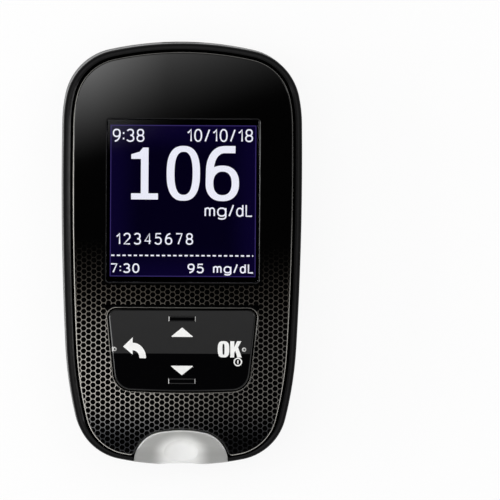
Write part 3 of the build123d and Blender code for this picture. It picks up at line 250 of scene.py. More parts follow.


# gloss keys, with a painted highlight on the moulded ends of the feel bars and on the rounds of the feel dots
def keyPolycarbonate():
    finish, tree, shader, place = polished("keyPolycarbonate", keyGloss["shade"], keyGloss["rough"], keyGloss["ior"])
    x, y = acrossAndUp(tree, place)
    turned = distance(tree, facing(tree, (1, 0, 0)))
    bars = product(tree, below(tree, distance(tree, x), keyGloss["barReach"]),
                   ramp(tree, turned, *keyGloss["barTurn"]))
    middle, level = keyGloss["dotsMiddle"]
    across = distance(tree, distance(tree, x, middle), keyGloss["dotReach"])
    off = math2(tree, "MAXIMUM", across, distance(tree, y, level))
    dots = product(tree, below(tree, off, keyGloss["dotHalf"]), ramp(tree, facing(tree), *keyGloss["dotTurn"]))
    # where the painted highlight goes: the ends of the bars and the rounds of the dots
    paintedGlint = math2(tree, "MAXIMUM", bars, dots)
    tree.links.new(mixColour(tree, paintedGlint, colour(keyGloss["shade"]), colour(keyGloss["paintedGlint"])),
                   shader.inputs["Base Color"])
    return finish


sparkGrain = {
    "shade": "161617",
    "pit": 0.16 * mm,
    "depth": 0.03 * mm,
    "patch": 1 / 120,           # size of the duller and the glossier patches in metres
    "rough": (0.42, 0.58),
}


# ABS from a spark-eroded mould: black with a fine even grain that scatters the light
def grainedAbs():
    finish, tree, shader, place = newFinish("grainedAbs", Base_Color=colour(sparkGrain["shade"]))
    rough = ramp(tree, noise(tree, place, sparkGrain["patch"]), 0, 1, *sparkGrain["rough"])
    tree.links.new(rough, shader.inputs["Roughness"])
    pits = noise(tree, place, sparkGrain["pit"], detail=3.0)
    addBump(tree, shader, pits, strength=0.5, depth=sparkGrain["depth"])
    return finish


lattice = {
    "base": "030303",
    "rough": 0.045,
    "pitch": 1.09 * mm,         # between the cells of a column
    "line": 0.118 * mm,         # printed line between two cells
    "soft": 0.06 * mm,
    "roundness": 0.5,           # 0 is a sharp hexagon, 1 a round hole
    "ink": "beb9b2",
    "inkAbove": "beb4a6",       # warmer towards the window
    "warmer": (-16 * mm, -6 * mm),
    "inkBelow": "b6b8be",       # cooler towards the port
    "cooler": (-28 * mm, -36 * mm),
    # from one place to another, and how much of the print shows at both
    "growing": (3.6 * mm, -26.0 * mm, 0.0, 1.0),
    # these two darken the ink towards the port and to the right: painted shade
    "atPort": (-27.5 * mm, -36.0 * mm, 1.0, 0.08),
    "toRight": (-17.0 * mm, 11.0 * mm, 1.0, 0.27),
    "upper": (-4.0 * mm, -16.0 * mm, 0.4, 1.0),
    "upperLean": 0.35,          # how much this last stretch rises towards the right
    # strips without print: lower edge, upper edge and half width; the second goes on past the top end
    "keyStrip": (-10.55 * mm, -9.55 * mm, 14.8 * mm),
    "windowStrip": (-5.8 * mm, 100 * mm, 15.2 * mm),
}
# a painted highlight: the clear edges take this lighter tone, more and more towards the lower left
plateEdge = {
    "tone": "d0ccc4",
    "level": (0.86, 0.72),      # upward share of the normal on the edges
    "outside": (17 * mm, 31 * mm),          # the outer edge lies further to the side or further up or down
    "portHalf": 9.5 * mm,       # it stays dark along the port
    "slant": [0.6, 1, 0],       # and is lit more and more against this direction, to the lower left
    "outerLit": (28 * mm, -8 * mm, 0.12, 1.0),
    "keyOpening": (-29 * mm, -8 * mm),      # the edge of the key opening lies between these levels
    "innerLit": (-13 * mm, -11 * mm, 1.0, 0.35),    # and is brightest on its left
}


# the lines between the cells: two grids of cells, the second one half a cell further
def latticeLines(tree, place):
    half = [lattice["pitch"] * math.sqrt(3) / 2, lattice["pitch"] / 2, 1.0]
    nearest = []
    for shift in ([0, 0, 0], [half[0], half[1], 0]):
        moved = vectorMath(tree, "SUBTRACT", place, shift)
        local = vectorMath(tree, "WRAP", moved, half, [-h for h in half])
        flat = vectorMath(tree, "MULTIPLY", vectorMath(tree, "ABSOLUTE", local), [1, 1, 0])
        straight = math2(tree, "MAXIMUM", along(tree, flat, [0, 1, 0]), along(tree, flat, [math.sqrt(3) / 2, 0.5, 0]))
        nearest.append(addNode(tree, "ShaderNodeMix", {"Factor": lattice["roundness"]},
                               {"A": straight, "B": vectorMath(tree, "LENGTH", flat)}).outputs[0])
    edge = (lattice["pitch"] - lattice["line"]) / 2
    soft = lattice["soft"] / 2
    return ramp(tree, math2(tree, "MINIMUM", *nearest), edge - soft, edge + soft)


def withinStrip(tree, x, y, bottom, top, reach):
    return product(tree, beyond(tree, y, bottom), below(tree, y, top), below(tree, distance(tree, x), reach))


# shares of the print that shows: more on the way down, none on the bare strips, and less at the port and to the right
# as painted shade
def printAndPaintedShadeShares(tree, x, y):
    lean = math2(tree, "MULTIPLY", math2(tree, "MAXIMUM", x, 0.0), lattice["upperLean"])
    leaning = math2(tree, "SUBTRACT", y, lean)
    stretches = ((y, "growing"), (y, "atPort"), (x, "toRight"), (leaning, "upper"))
    bare = [withinStrip(tree, x, y, *lattice[strip]) for strip in ("keyStrip", "windowStrip")]
    return [ramp(tree, source, *lattice[stretch]) for source, stretch in stretches] + [
        math2(tree, "SUBTRACT", 1.0, math2(tree, "MAXIMUM", *bare))]


# a painted highlight on the clear edges of the plate, stronger towards the lower left; the edge of the window opening
# is printed over
def paintedEdgeLight(tree, place, x, y):
    wide = distance(tree, x)
    sides, ends = plateEdge["outside"]
    outside = math2(tree, "MAXIMUM", beyond(tree, wide, sides), beyond(tree, distance(tree, y), ends))
    offPort = math2(tree, "MAXIMUM", beyond(tree, wide, plateEdge["portHalf"]), beyond(tree, y, 0.0))
    lit = ramp(tree, along(tree, place, plateEdge["slant"]), *plateEdge["outerLit"])
    bottom, top = plateEdge["keyOpening"]
    inner = product(tree, below(tree, y, top), beyond(tree, y, bottom), ramp(tree, x, *plateEdge["innerLit"]))
    either = math2(tree, "MAXIMUM", product(tree, outside, offPort, lit), inner)
    return product(tree, either, ramp(tree, facing(tree), *plateEdge["level"]))


# hard-coated polycarbonate printed on its underside: gloss black, lattice in silvery ink with painted shade, edges
# with a painted highlight
def printedPlate():
    finish, tree, shader, place = newFinish("printedPlate", Roughness=lattice["rough"])
    x, y = acrossAndUp(tree, place)
    ink = mixColour(tree, ramp(tree, y, *lattice["warmer"]), colour(lattice["ink"]), colour(lattice["inkAbove"]))
    ink = mixColour(tree, ramp(tree, y, *lattice["cooler"]), ink, colour(lattice["inkBelow"]))
    printed = product(tree, latticeLines(tree, place), *printAndPaintedShadeShares(tree, x, y))
    base = mixColour(tree, printed, colour(lattice["base"]), ink)
    base = mixColour(tree, paintedEdgeLight(tree, place, x, y), base, colour(plateEdge["tone"]))
    tree.links.new(base, shader.inputs["Base Color"])
    tree.links.new(archNormal(tree, place), shader.inputs["Normal"])
    return finish


# hard-coated acrylic: clear, very slightly cool
def clearAcrylic():
    return newFinish("clearAcrylic", Base_Color=colour("fafbff"), Roughness=0.0, IOR=1.49, Transmission_Weight=1.0)[0]


port = {
    # painted shade at the sides, a painted highlight and a faint painted glow in the middle
    "side": "aeaeac",
    "middle": "f8f8f6",
    "light": "f6f6f2",
    "glow": 0.1,
    "glowAt": (0.0, -38.0 * mm),
    "glowSquash": 1.5,          # how much narrower the glow is along Y than across
    "reach": (6.3 * mm, 2.3 * mm),          # it grows from nothing to full between these
    "cloud": 1 / 350,           # size of the milky clouds in metres
    "cloudShift": 0.6 * mm,
    # a painted highlight along the edge
    "rim": "f6f6f4",
    "rimUp": (0.95, 0.8),       # upward share of the normal on the bright rim
    "rimAlong": (-0.35, -0.15),             # which leaves out the face at the strip end
}


# milky polycarbonate light guide: satin, light goes a few millimetres into it; painted paler with a faint painted
# glow in the middle, painted shade to the sides and a painted highlight along its edge
def milkyPolycarbonate():
    finish, tree, shader, place = newFinish("milkyPolycarbonate", Roughness=0.25, Subsurface_Weight=0.6,
                                            Subsurface_Scale=0.002, Subsurface_Radius=(1.0, 1.0, 0.95))
    x, y = port["glowAt"]
    squash = port["glowSquash"]
    offset = vectorMath(tree, "MULTIPLY_ADD", place, [1, squash, 0], [-x, -squash * y, 0])
    # nothing fades from there towards the strip end, only upwards and to the sides
    away = vectorMath(tree, "LENGTH", vectorMath(tree, "MAXIMUM", offset, [-1, 0, 0]))
    shift = math2(tree, "MULTIPLY", noise(tree, place, port["cloud"]), port["cloudShift"])
    near = ramp(tree, math2(tree, "ADD", away, shift), *port["reach"])
    base = mixColour(tree, near, colour(port["side"]), colour(port["middle"]))
    rim = product(tree, ramp(tree, facing(tree), *port["rimUp"]),
                  ramp(tree, facing(tree, (0, 1, 0)), *port["rimAlong"]))
    tree.links.new(mixColour(tree, rim, base, colour(port["rim"])), shader.inputs["Base Color"])
    shader.inputs["Emission Color"].default_value = colour(port["light"])
    tree.links.new(math2(tree, "MULTIPLY", near, port["glow"]), shader.inputs["Emission Strength"])
    return finish


# any other moulded or coated finish: one colour with a fine speckle in its tone and a matching grain
def moulded(name, dark, light, rough, speckle, bumpStrength=0.1, **sockets):
    finish, tree, shader, place = newFinish(name, Roughness=rough, **sockets)
    speckles = noise(tree, place, speckle, detail=3.0)
    tree.links.new(mixColour(tree, speckles, colour(dark), colour(light)), shader.inputs["Base Color"])
    addBump(tree, shader, speckles, bumpStrength, depth=0.01 * mm)
    return finish


brushing = {
    "line": 0.06 * mm,
    "stretch": 0.05,            # width of a streak as a share of its length
    "ring": 0.2 * mm,
    "wander": 1.5,              # how far the rings stray from a circle
    "depth": 0.01 * mm,
    "strength": 0.06,
    "spread": (0.75, 1.3),      # of the roughness, as shares of it
}


# sheet metal: streaks along Y from rolling, or rings from turning round a centre
def brushedMetal(name, shade, rough, ringsRound=None):
    finish, tree, shader, place = newFinish(name, Base_Color=colour(shade), Metallic=1.0)
    if ringsRound is None:
        stretched = addNode(tree, "ShaderNodeMapping", {"Scale": (1.0, brushing["stretch"], 1.0)}, {"Vector": place})
        lines = noise(tree, stretched.outputs[0], brushing["line"])
    else:
        centred = addNode(tree, "ShaderNodeMapping", {"Location": [-v for v in ringsRound]}, {"Vector": place})
        lines = addNode(tree, "ShaderNodeTexWave",
                        {"Scale": 1 / brushing["ring"], "Distortion": brushing["wander"], "Detail": 2.0},
                        {"Vector": centred.outputs[0]}, wave_type="RINGS", rings_direction="Z").outputs["Fac"]
    uneven = ramp(tree, lines, 0, 1, *[rough * share for share in brushing["spread"]])
    tree.links.new(uneven, shader.inputs["Roughness"])
    addBump(tree, shader, lines, brushing["strength"], brushing["depth"])
    return finish


# a part of the display that gives light
def glowing(name, shade):
    finish, _, shader, _ = newFinish(name, Base_Color=colour("050508"), Roughness=0.2, Specular_IOR_Level=0.2,
                                     Emission_Strength=1.0)
    shader.inputs["Emission Color"].default_value = colour(shade)
    return finish


paint(caseAbs(), "front_case")
paint(keyPolycarbonate(), "key_plate")
paint(grainedAbs(), "rear_case", "battery_door", "ejector_button")
paint(printedPlate(), "face_plate")
paint(clearAcrylic(), "display_window")
paint(milkyPolycarbonate(), "port_cover")
# two tones, roughness, size of a speckle and, where it differs, strength of the grain
paint(moulded("displayCell", "020203", "030304", 0.08, 2 * mm, 0.0, Specular_IOR_Level=0.2), "lcd_glass")
paint(moulded("clearLightGuide", "e8e9ea", "f2f3f4", 0.15, 2 * mm, 0.0), "backlight")
paint(moulded("whitePolyamide", "dcdbd4", "e8e7e0", 0.45, 0.5 * mm), "lcd_frame", "key_cross")
paint(moulded("naturalPolyamide", "c9c2a8", "d6cfb6", 0.5, 0.5 * mm), "strip_connector", "ejector_carriage")
paint(moulded("greySilicone", "8e9094", "9b9da1", 0.6, 0.4 * mm), "key_mat")
paint(moulded("polyimideFilm", "a8691c", "b97a26", 0.25, 1.5 * mm), "display_flex")
paint(moulded("solderMask", "0c4a22", "125a2c", 0.3, 0.8 * mm, 0.3), "main_board")
paint(moulded("mouldingEpoxy", "101011", "1a1a1b", 0.5, 0.1 * mm), "circuit_chips", "beeper", "usb_tongue")
paint(moulded("firedCeramic", "8a6a48", "a58560", 0.45, 0.2 * mm), "small_components")
paint(moulded("lampLens", "f4efcf", "faf6dd", 0.3, 1 * mm), "port_lights")
# tone and roughness
paint(brushedMetal("springSteel", "b9babd", 0.28), "key_bracket", "key_domes", "ejector_spring",
      "battery_contact_negative", "battery_contact_positive")
paint(brushedMetal("blackZinc", "3a3a3e", 0.35), "case_screws")
paint(brushedMetal("tinPlatedSteel", "c8c8ca", 0.25), "usb_shell")
paint(brushedMetal("goldFlash", "e0b050", 0.2), "strip_contacts")
for which in ("upper", "lower"):
    cell = "battery_cell_" + which
    low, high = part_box(cell)
    paint(brushedMetal("nickelSteel_" + which, "cfcfcc", 0.22, (low + high) / 2), cell)
print("finishes on the CAD nodes")


def deselectAll():
    if bpy.context.mode != "OBJECT":
        bpy.ops.object.mode_set(mode="OBJECT")
    bpy.ops.object.select_all(action="DESELECT")


def selectOnly(piece):
    deselectAll()
    piece.select_set(True)
    bpy.context.view_layer.objects.active = piece


def applyModifier(piece, kind, **settings):
    selectOnly(piece)
    modifier = piece.modifiers.new(kind.title(), kind)
    for name, value in settings.items():
        setattr(modifier, name, value)
    bpy.ops.object.modifier_apply(modifier=modifier.name)


# puts a piece's place into its mesh
def settle(piece, finish, body):
    selectOnly(piece)
    bpy.ops.object.transform_apply(location=True, rotation=True, scale=True)
    piece.data.materials.clear()
    piece.data.materials.append(finish)
    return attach(piece, body)


# a mesh from lines in millimetres, each given with whether it is closed
def curveMesh(name, lines, **settings):
    curve = bpy.data.curves.new(name, "CURVE")
    for setting, value in settings.items():
        setattr(curve, setting, value)
    for points, closed in lines:
        spline = curve.splines.new("POLY")
        spline.points.add(len(points) - 1)
        for point, (x, y) in zip(spline.points, points):
            point.co = (x * mm, y * mm, 0, 1)
        spline.use_cyclic_u = closed
    shape = bpy.data.objects.new(name, curve)
    bpy.context.collection.objects.link(shape)
    selectOnly(shape)
    bpy.ops.object.convert(target="MESH")
    return bpy.context.object


# a filled flat outline with a thickness; the further loops are holes
def flatShape(name, loops, thickness=0.0):
    return curveMesh(name, [(loop, True) for loop in loops], dimensions="2D", fill_mode="BOTH", extrude=thickness / 2)


# lines drawn with a round pen, then pressed flat; one that ends where it begins is closed
def penShape(name, lines, pen, thickness):
    ways = [(line[:-1], True) if math.dist(line[0], line[-1]) < 0.001 else (line, False) for line in lines]
    shape = curveMesh(name, ways, dimensions="3D", bevel_depth=pen / 2 * mm, bevel_resolution=1, use_fill_caps=True)
    shape.data.transform(Matrix.Diagonal((1, 1, thickness / (pen * mm), 1)))
    return shape


def joined(name, shapes):
    deselectAll()
    for shape in shapes:
        shape.select_set(True)
    bpy.context.view_layer.objects.active = shapes[0]
    if len(shapes) > 1:
        bpy.ops.object.join()
    shapes[0].name = name
    return shapes[0]


# part of an ellipse, or of one with fuller corners, from one angle to another
def ovalPoints(x, y, halfWidth, halfHeight, start, end, fullness=2.0, steps=16):
    points = []
    for i in range(steps + 1):
        angle = math.radians(start + (end - start) * i / steps)
        c, s = math.cos(angle), math.sin(angle)
        points.append((x + halfWidth * math.copysign(abs(c) ** (2 / fullness), c),
                       y + halfHeight * math.copysign(abs(s) ** (2 / fullness), s)))
    return points


def ovalLoop(x, y, halfWidth, halfHeight, fullness, steps):
    return ovalPoints(x, y, halfWidth, halfHeight, 0, 360, fullness, steps)[:-1]


def boxLoop(left, right, bottom, top):
    return [(left, bottom), (right, bottom), (right, top), (left, top)]


# sizes in millimetres
display = {
    "width": 27.9,
    "height": 29.05,
    "shift": (0.08, -0.12),     # of the picture from the middle of the window
    "gap": 0.01,                # between the cell and the film
    "filmThickness": 0.02,
    "filmBevel": 0.006,
    "inkThickness": 0.02,
    "field": ("040117", "0a0428"),      # its middle and its rim
    "rimWidth": 6,
    "line": "372c68",           # paler, round the edge
    "border": 0.16,             # width of that line
    "borderSoft": 0.05,
    "figures": "f6f6ff",
    "stroke": 0.28,
    # text, left, right, base line, height and width of a figure, in mm from the middle of the display
    "rows": [
        ("9:38", -13.55, -7.46, 11.27, 2.52, 1.54),
        ("10/10/18", 0.68, 13.35, 11.33, 2.52, 1.54),
        ("mg/dL", 4.13, 13.35, -3.0, 2.4, 1.54),
        ("12345678", -12.82, 1.98, -8.42, 2.27, 1.42),
        ("7:30", -13.85, -8.28, -13.86, 1.87, 1.38),
        ("95", 0.92, 4.06, -13.86, 1.87, 1.38),
        ("mg/dL", 5.82, 13.62, -13.86, 1.87, 1.28),
    ],
    # widths of signs as shares of a figure's
    "cells": {"1": 0.6, ":": 0.24, "/": 0.7, "m": 1.3, "g": 1.18, "d": 0.92, "L": 0.9},
    # line, left, right, pitch, length and thickness of the dashes
    "dashes": (-10.48, -13.7, 13.5, 1.08, 0.62, 0.28),
}
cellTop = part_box("lcd_glass")[1].z
windowLow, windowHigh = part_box("display_window")
displayMiddle = (windowLow + windowHigh) / 2 + Vector((*display["shift"], 0)) * mm


# the three large figures of the reading
def readingLoops():
    one = [(-9.96, 0.25), (-4.81, 0.25), (-4.81, 1.43), (-6.66, 1.43), (-6.66, 10.2), (-7.71, 10.2), (-8.36, 9.4),
           (-9.96, 8.9), (-9.96, 8.02), (-8.11, 8.02), (-8.11, 1.43), (-9.96, 1.43)]
    zero = [ovalLoop(0.02, 5.3, 3.2, 5.26, 2.5, 48), ovalLoop(0.06, 5.3, 1.74, 4.13, 2.5, 48)]
    six = [(9.98, 9.2), (9.98, 10.58), *ovalPoints(7.95, 5.6, 3.6, 4.98, 90, 180, 2.2),
           *ovalPoints(7.5, 3.41, 3.2, 3.41, 180, 478, 2.3, 40), *ovalPoints(7.95, 5.6, 2.1, 3.6, 166, 90, 2.2)]
    return [[one], zero, [six, ovalLoop(7.53, 3.41, 1.76, 2.26, 2.3, 40)]]


def bow(x, y, halfWidth, halfHeight, start, end):
    return ovalPoints(x, y, halfWidth, halfHeight, start, end, 2.3, 14)


# the pen strokes of each small sign, in a cell one wide and one high
penStrokes = {
    "0": [bow(0.5, 0.5, 0.5, 0.5, 0, 360)],
    "1": [[(0, 0.72), (0.45, 0.8), (1, 1), (1, 0)]],
    "2": [bow(0.5, 0.72, 0.48, 0.28, 170, -25) + [(0, 0), (1, 0)]],
    "3": [bow(0.46, 0.75, 0.46, 0.25, 155, -90), bow(0.46, 0.25, 0.52, 0.25, 90, -155)],
    "4": [[(0.78, 0), (0.78, 1), (0, 0.28), (1, 0.28)]],
    "5": [[(0.95, 1), (0.14, 1), (0.08, 0.58)] + bow(0.46, 0.32, 0.52, 0.32, 110, -155)],
    "6": [bow(0.5, 0.3, 0.5, 0.3, 0, 360), bow(0.9, 0.3, 0.9, 0.7, 180, 95)],
    "7": [[(0, 1), (1, 1), (0.36, 0)]],
    "8": [bow(0.5, 0.75, 0.44, 0.25, 0, 360), bow(0.5, 0.25, 0.5, 0.25, 0, 360)],
    "9": [bow(0.5, 0.7, 0.5, 0.3, 0, 360), bow(0.1, 0.7, 0.9, 0.7, 0, -85)],
    ":": [[(0.5, 0.15), (0.5, 0.3)], [(0.5, 0.62), (0.5, 0.77)]],
    "/": [[(0, 0), (1, 1)]],
    "m": [[(0, 0), (0, 0.72)], bow(0.25, 0.46, 0.25, 0.26, 180, 0) + [(0.5, 0)],
          bow(0.75, 0.46, 0.25, 0.26, 180, 0) + [(1, 0)]],
    "g": [bow(0.5, 0.36, 0.5, 0.36, 0, 360), [(1, 0.72), (1, -0.02)] + bow(0.5, -0.02, 0.5, 0.24, -10, -150)],
    "d": [bow(0.5, 0.36, 0.5, 0.36, 0, 360), [(1, 1), (1, 0)]],
    "L": [[(0, 1), (0, 0), (1, 0)]],
}


# a row of signs with the same space between all of them
def rowStrokes(text, left, right, base, height, width):
    pen = display["stroke"]
    wide = [display["cells"].get(sign, 1) * width for sign in text]
    space = (right - left - sum(wide)) / (len(text) - 1)
    lines = []
    for i, sign in enumerate(text):
        x = left + sum(wide[:i]) + i * space + pen / 2
        lines += [[(x + a * (wide[i] - pen), base + pen / 2 + b * (height - pen)) for a, b in stroke]
                  for stroke in penStrokes[sign]]
    return lines


# liquid crystal, lit from behind: deep navy with a paler line round its edge
def litNavy():
    finish, tree, shader, place = newFinish("litNavy", Base_Color=colour("010102"), Roughness=0.08,
                                            Specular_IOR_Level=0.2, Emission_Strength=1.0)
    half = [(display[side] / 2 - display["border"]) * mm for side in ("width", "height")]
    away = vectorMath(tree, "ABSOLUTE", vectorMath(tree, "SUBTRACT", place, displayMiddle))
    past = vectorMath(tree, "SUBTRACT", away, [*half, 0])
    outer = math2(tree, "MAXIMUM", *acrossAndUp(tree, past))
    middle, rim = [colour(tone) for tone in display["field"]]
    field = mixColour(tree, ramp(tree, outer, -display["rimWidth"] * mm, 0.0), middle, rim)
    soft = display["borderSoft"] * mm
    edged = mixColour(tree, ramp(tree, outer, -soft, soft), field, colour(display["line"]))
    tree.links.new(edged, shader.inputs["Emission Color"])
    return finish


def makeDisplay():
    filmZ = cellTop + display["gap"] * mm
    filmThickness, thickness = display["filmThickness"] * mm, display["inkThickness"] * mm
    deselectAll()
    bpy.ops.mesh.primitive_cube_add(size=1, location=(*displayMiddle.xy, filmZ + filmThickness / 2),
                                    scale=(display["width"] * mm, display["height"] * mm, filmThickness))
    film = bpy.context.object
    film.name = "displayFilm"
    bpy.ops.object.transform_apply(location=True, rotation=True, scale=True)
    applyModifier(film, "BEVEL", width=display["filmBevel"] * mm, segments=2, limit_method="ANGLE")
    settle(film, litNavy(), "case")
    signs = [flatShape("figure", loops, thickness) for loops in readingLoops()]
    signs.append(penShape("rows", [line for row in display["rows"] for line in rowStrokes(*row)],
                          display["stroke"], thickness))
    y, left, right, pitch, length, wide = display["dashes"]
    for i in range(int((right - left) / pitch) + 1):
        x = left + i * pitch
        dash = boxLoop(x, min(x + length, right), y - wide / 2, y + wide / 2)
        signs.append(flatShape("dash", [dash], thickness))
    figures = joined("displayFigures", signs)
    figures.data.transform(Matrix.Translation((*displayMiddle.xy, filmZ + filmThickness + thickness / 2)))
    settle(figures, glowing("litFigures", display["figures"]), "case")


makeDisplay()
print("display made")


# places and sizes in millimetres
legends = {
    "thickness": 0.02,
    "gap": 0.004,               # between the plate and the marks
    "above": 22,                # they are projected down from this height
    "ridgeY": -18.9,            # the key plate slopes both ways from here
    "up": (0.0, -15.72, 2.05, 1.78),        # middle, base line, half width and height
    "down": (0.0, -21.25, 2.1, -1.8),
    "arrowRound": 0.12,
    "back": (-11.3, -17.6),     # the tip of the bent arrow
    "okLeft": 6.85,
    "okBase": -19.6,
    "okHeight": 3.12,
    "power": (10.72, -20.46, 0.83, 0.25, 0.34),     # middle, radius and line of the on-off mark, half its upright
}


# an arrow head with its corners taken off
def headLoop(x, base, half, height):
    r = legends["arrowRound"]
    tip = base + height
    side = math.copysign(r, height)
    return [(x - half + r, base), (x + half - r, base), (x + half, base + side * 0.5),
            (x + half - r * 0.6, base + side * 1.4), (x + r, tip - side * 0.6), (x, tip), (x - r, tip - side * 0.6),
            (x - half + r * 0.6, base + side * 1.4), (x - half, base + side * 0.5)]


# the head and the bent stem of the back arrow, from its tip
def backLoop(x, y):
    end = y - 2.22
    return [(x, y), (x + 1.82, y + 1.78), (x + 1.82, y + 0.74), *ovalPoints(x + 1.9, end, 2.5, 2.94, 90, 0),
            *ovalPoints(x + 1.9, end, 1.24, 1.5, 0, 90), (x + 1.82, end + 1.5), (x + 1.82, y - 1.52)]


def okLoops(x, y, height):
    middle = (x + 1.1, y + height / 2)
    ring = [ovalLoop(*middle, 1.1, height / 2, 3.0, 40), ovalLoop(*middle, 0.2, height / 2 - 0.5, 3.0, 32)]
    # across from the second letter's left side, and up as a share of its height
    corners = ((0, 0), (0.76, 0), (0.76, 0.3), (0.96, 0.42), (1.36, 0), (2.2, 0), (1.5, 0.62), (2.12, 1), (1.3, 1),
               (0.76, 0.63), (0.76, 1), (0, 1))
    return ring, [[(x + 2.4 + a, y + b * height) for a, b in corners]]


def legendLoops():
    x, y, radius, line, upright = legends["power"]
    ring = [ovalLoop(x, y, r, r, 2.0, 36) for r in (radius, radius - line)]
    bar = boxLoop(x - line / 2, x + line / 2, y - upright, y + upright)
    return [[headLoop(*legends["up"])], [headLoop(*legends["down"])], [backLoop(*legends["back"])],
            *okLoops(legends["okLeft"], legends["okBase"], legends["okHeight"]), ring, [bar]]


# pad-printed marks that lie on the two slopes of the key plate
def makeLegends():
    marks = joined("keyLegends", [flatShape("mark", loops) for loops in legendLoops()])
    above = legends["above"] * mm
    marks.data.transform(Matrix.Translation((0, 0, above)))
    selectOnly(marks)
    bpy.ops.object.mode_set(mode="EDIT")
    bpy.ops.mesh.select_all(action="SELECT")
    bpy.ops.mesh.bisect(plane_co=(0, legends["ridgeY"] * mm, above), plane_no=(0, 1, 0))
    bpy.ops.object.mode_set(mode="OBJECT")
    applyModifier(marks, "SHRINKWRAP", target=nodes["key_plate"], wrap_method="PROJECT", use_project_z=True,
                  use_negative_direction=True, use_positive_direction=False, offset=legends["gap"] * mm)
    applyModifier(marks, "SOLIDIFY", thickness=legends["thickness"] * mm, offset=1.0)
    settle(marks, moulded("whiteInk", "f4f4f2", "fbfbf9", 0.35, 0.3 * mm, 0.05), "key_plate")


makeLegends()
print("key legends made")


spring = {
    "wire": 0.25,               # its thickness in millimetres
    "wireSides": 12,
    "turns": 6.0,
    "stepsPerTurn": 32,
    "keep": 0.24,               # share of its length that is left with the ejector out
}


# one round wire in a helix, in place of the spring part
def makeSpring():
    low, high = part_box("ejector_spring")
    axisX, axisZ = (low.x + high.x) / 2, (low.z + high.z) / 2
    wire = spring["wire"] * mm / 2
    radius = (high.x - low.x) / 2 - wire
    deselectAll()
    bpy.ops.mesh.primitive_circle_add(vertices=spring["wireSides"], radius=wire, fill_type="NOTHING",
                                      location=(radius, 0, 0), rotation=(math.radians(90), 0, 0))
    coil = bpy.context.object
    coil.name = "springCoil"
    bpy.ops.object.transform_apply(location=True, rotation=True, scale=True)
    applyModifier(coil, "SCREW", axis="Z", angle=math.radians(360 * spring["turns"]),
                  screw_offset=high.y - low.y - 2 * wire, steps=int(spring["turns"] * spring["stepsPerTurn"]),
                  use_merge_vertices=False, use_smooth_shade=True)
    bpy.ops.object.mode_set(mode="EDIT")
    bpy.ops.mesh.select_all(action="SELECT")
    bpy.ops.mesh.fill_holes(sides=0)
    bpy.ops.mesh.normals_make_consistent(inside=False)
    bpy.ops.object.mode_set(mode="OBJECT")
    coil.data.transform(Matrix.Rotation(math.radians(-90), 4, "X"))
    coil.data.transform(Matrix.Translation((axisX, low.y + wire, axisZ)))
    settle(coil, brushedMetal("springWire", "b9babd", 0.28), "case")
    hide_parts("ejector_spring")
    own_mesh(coil)


makeSpring()
print("ejector spring made")


studio = {
    "cameraDistance": 4.0,
    "tiltLeft": 1.6,            # degrees from straight above
    "tiltUp": 2.2,
    "roll": 0.3,
    "sensor": 36,               # in millimetres
    "clip": (0.05, 60),
    "frameWidth": 96.08 * mm,
    "target": (13.232 * mm, 0.576 * mm),
    "outlineZ": 9.5 * mm,
    "floor": "fcfcfc",
    "floorSize": 6,
    "floorDrop": 0.05 * mm,
    "floorGlow": 0.9,           # share of the floor's white that no lamp gives
    "room": 0.25,
    "roomRise": (0.96, 0.84),   # the room is dark above the first and lit below the second
    "walls": (0.03, 0.2),       # how high the white walls reach, as the rise of a line of sight
}
# a soft overhead light beyond the top end and a little to the left
sheen = {
    "strength": 2.6,
    "towards": [-0.18, 1.0, 0],
    "start": (0.071, 0.162),    # rise of a line of sight where it sets in
    "end": (0.2, 0.3, 1.0, 0.0),            # and where it stops
    "sideways": (-0.13, 0.0, 1.3, 0.56),    # brighter on the left
}
# azimuth and elevation in degrees, distance, width and height in metres, and brightness
lamps = {
    "leftStrip": (180, 31, 0.5, 0.5, 0.14, 3.6),
    "fill": (90, 80, 0.8, 0.9, 0.9, 1.55),
}


def makeCamera():
    data = bpy.data.cameras.new("camera")
    camera = bpy.data.objects.new("camera", data)
    bpy.context.scene.collection.objects.link(camera)
    left, up, roll = [math.radians(studio[name]) for name in ("tiltLeft", "tiltUp", "roll")]
    middle = Vector((0, 0, studio["outlineZ"]))
    direction = Vector((-math.tan(left), math.tan(up), 1)).normalized()
    camera.location = middle + direction * studio["cameraDistance"]
    side = Vector((math.cos(roll), math.sin(roll), 0))
    target = middle + side * studio["target"][0] + Vector((-side.y, side.x, 0)) * studio["target"][1]
    away = camera.location - target
    back = away.normalized()
    above = back.cross(side).normalized()
    camera.rotation_euler = Matrix((above.cross(back), above, back)).transposed().to_euler()
    data.sensor_width = studio["sensor"]
    data.lens = studio["sensor"] * away.length / studio["frameWidth"]
    data.clip_start, data.clip_end = studio["clip"]
    bpy.context.scene.camera = camera


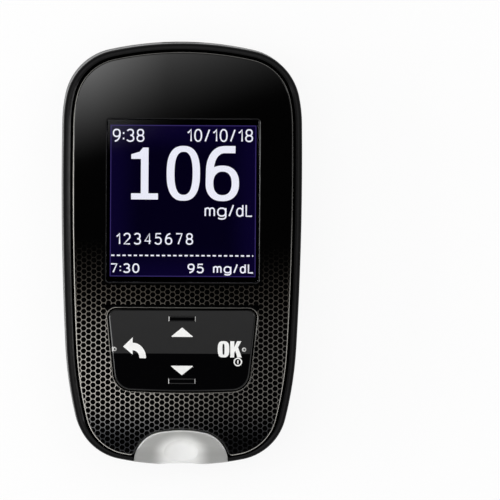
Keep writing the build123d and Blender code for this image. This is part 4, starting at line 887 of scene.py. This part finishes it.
def makeWorld():
    world = bpy.data.worlds.new("studio")
    bpy.context.scene.world = world
    world.use_nodes = True
    tree = world.node_tree
    tree.nodes.clear()
    direction = addNode(tree, "ShaderNodeTexCoord").outputs["Generated"]
    x, z = along(tree, direction, [1, 0, 0]), along(tree, direction, [0, 0, 1])
    rise = along(tree, direction, sheen["towards"])
    edge = ramp(tree, rise, *sheen["start"], way="LINEAR")
    overhead = product(tree, edge, edge, sheen["strength"], ramp(tree, rise, *sheen["end"]),
                       ramp(tree, x, *sheen["sideways"], way="LINEAR"))
    # a dim room all round, dark overhead
    light = math2(tree, "MAXIMUM", overhead, ramp(tree, z, *studio["roomRise"], 0.0, studio["room"]))
    # its walls look white, directly and, as far as they reach above the horizon, in gloss and through glass
    path = addNode(tree, "ShaderNodeLightPath")
    indirect = math2(tree, "MAXIMUM", path.outputs["Is Glossy Ray"], path.outputs["Is Transmission Ray"])
    walls = product(tree, indirect, ramp(tree, z, *studio["walls"], 1.0, 0.0))
    seen = math2(tree, "MAXIMUM", path.outputs["Is Camera Ray"], walls)
    strength = addNode(tree, "ShaderNodeMix", {"B": 1.0}, {"Factor": seen, "A": light}).outputs[0]
    shader = addNode(tree, "ShaderNodeBackground", {"Color": (1, 1, 1, 1)}, {"Strength": strength})
    addNode(tree, "ShaderNodeOutputWorld", {}, {"Surface": shader.outputs[0]})


# a lamp that looks at the object; its power follows from how bright its face is
def softbox(name, azimuth, elevation, away, width, height, radiance):
    data = bpy.data.lights.new(name, "AREA")
    data.shape = "RECTANGLE"
    data.size, data.size_y = width, height
    data.energy = radiance * math.pi * width * height
    light = bpy.data.objects.new(name, data)
    bpy.context.scene.collection.objects.link(light)
    a, e = math.radians(azimuth), math.radians(elevation)
    direction = Vector((math.cos(e) * math.cos(a), math.cos(e) * math.sin(a), math.sin(e)))
    light.location = direction * away
    side = Vector((-math.sin(a), math.cos(a), 0))
    light.rotation_euler = Matrix((side, direction.cross(side), direction)).transposed().to_euler()
    return light


def makeFloor():
    deselectAll()
    bpy.ops.mesh.primitive_plane_add(size=studio["floorSize"], location=(0, 0, -studio["floorDrop"]))
    floor = bpy.context.object
    floor.name = "floor"
    finish, tree, shader, _ = newFinish("paleFloor", Base_Color=colour(studio["floor"]), Roughness=0.9)
    white = addNode(tree, "ShaderNodeEmission", {"Color": (1, 1, 1, 1), "Strength": 1.0}).outputs[0]
    path = addNode(tree, "ShaderNodeLightPath")
    seen = math2(tree, "MAXIMUM", path.outputs["Is Camera Ray"], path.outputs["Is Transmission Ray"])
    seen = math2(tree, "MAXIMUM", seen, path.outputs["Is Glossy Ray"])
    share = product(tree, seen, studio["floorGlow"])
    top = addNode(tree, "ShaderNodeMixShader", {}, {0: share, 1: shader.outputs[0], 2: white}).outputs[0]
    # seen from below it is clear
    clear = addNode(tree, "ShaderNodeBsdfTransparent").outputs[0]
    back = addNode(tree, "ShaderNodeNewGeometry").outputs["Backfacing"]
    both = addNode(tree, "ShaderNodeMixShader", {}, {0: back, 1: top, 2: clear}).outputs[0]
    tree.links.new(both, tree.nodes["Material Output"].inputs["Surface"])
    floor.data.materials.append(finish)


makeCamera()
makeWorld()
strip, fill = [softbox(name, *values) for name, values in lamps.items()]
fill.visible_glossy = fill.visible_transmission = strip.visible_transmission = False
makeFloor()
bpy.context.scene.view_settings.view_transform = "Standard"
print("studio made")
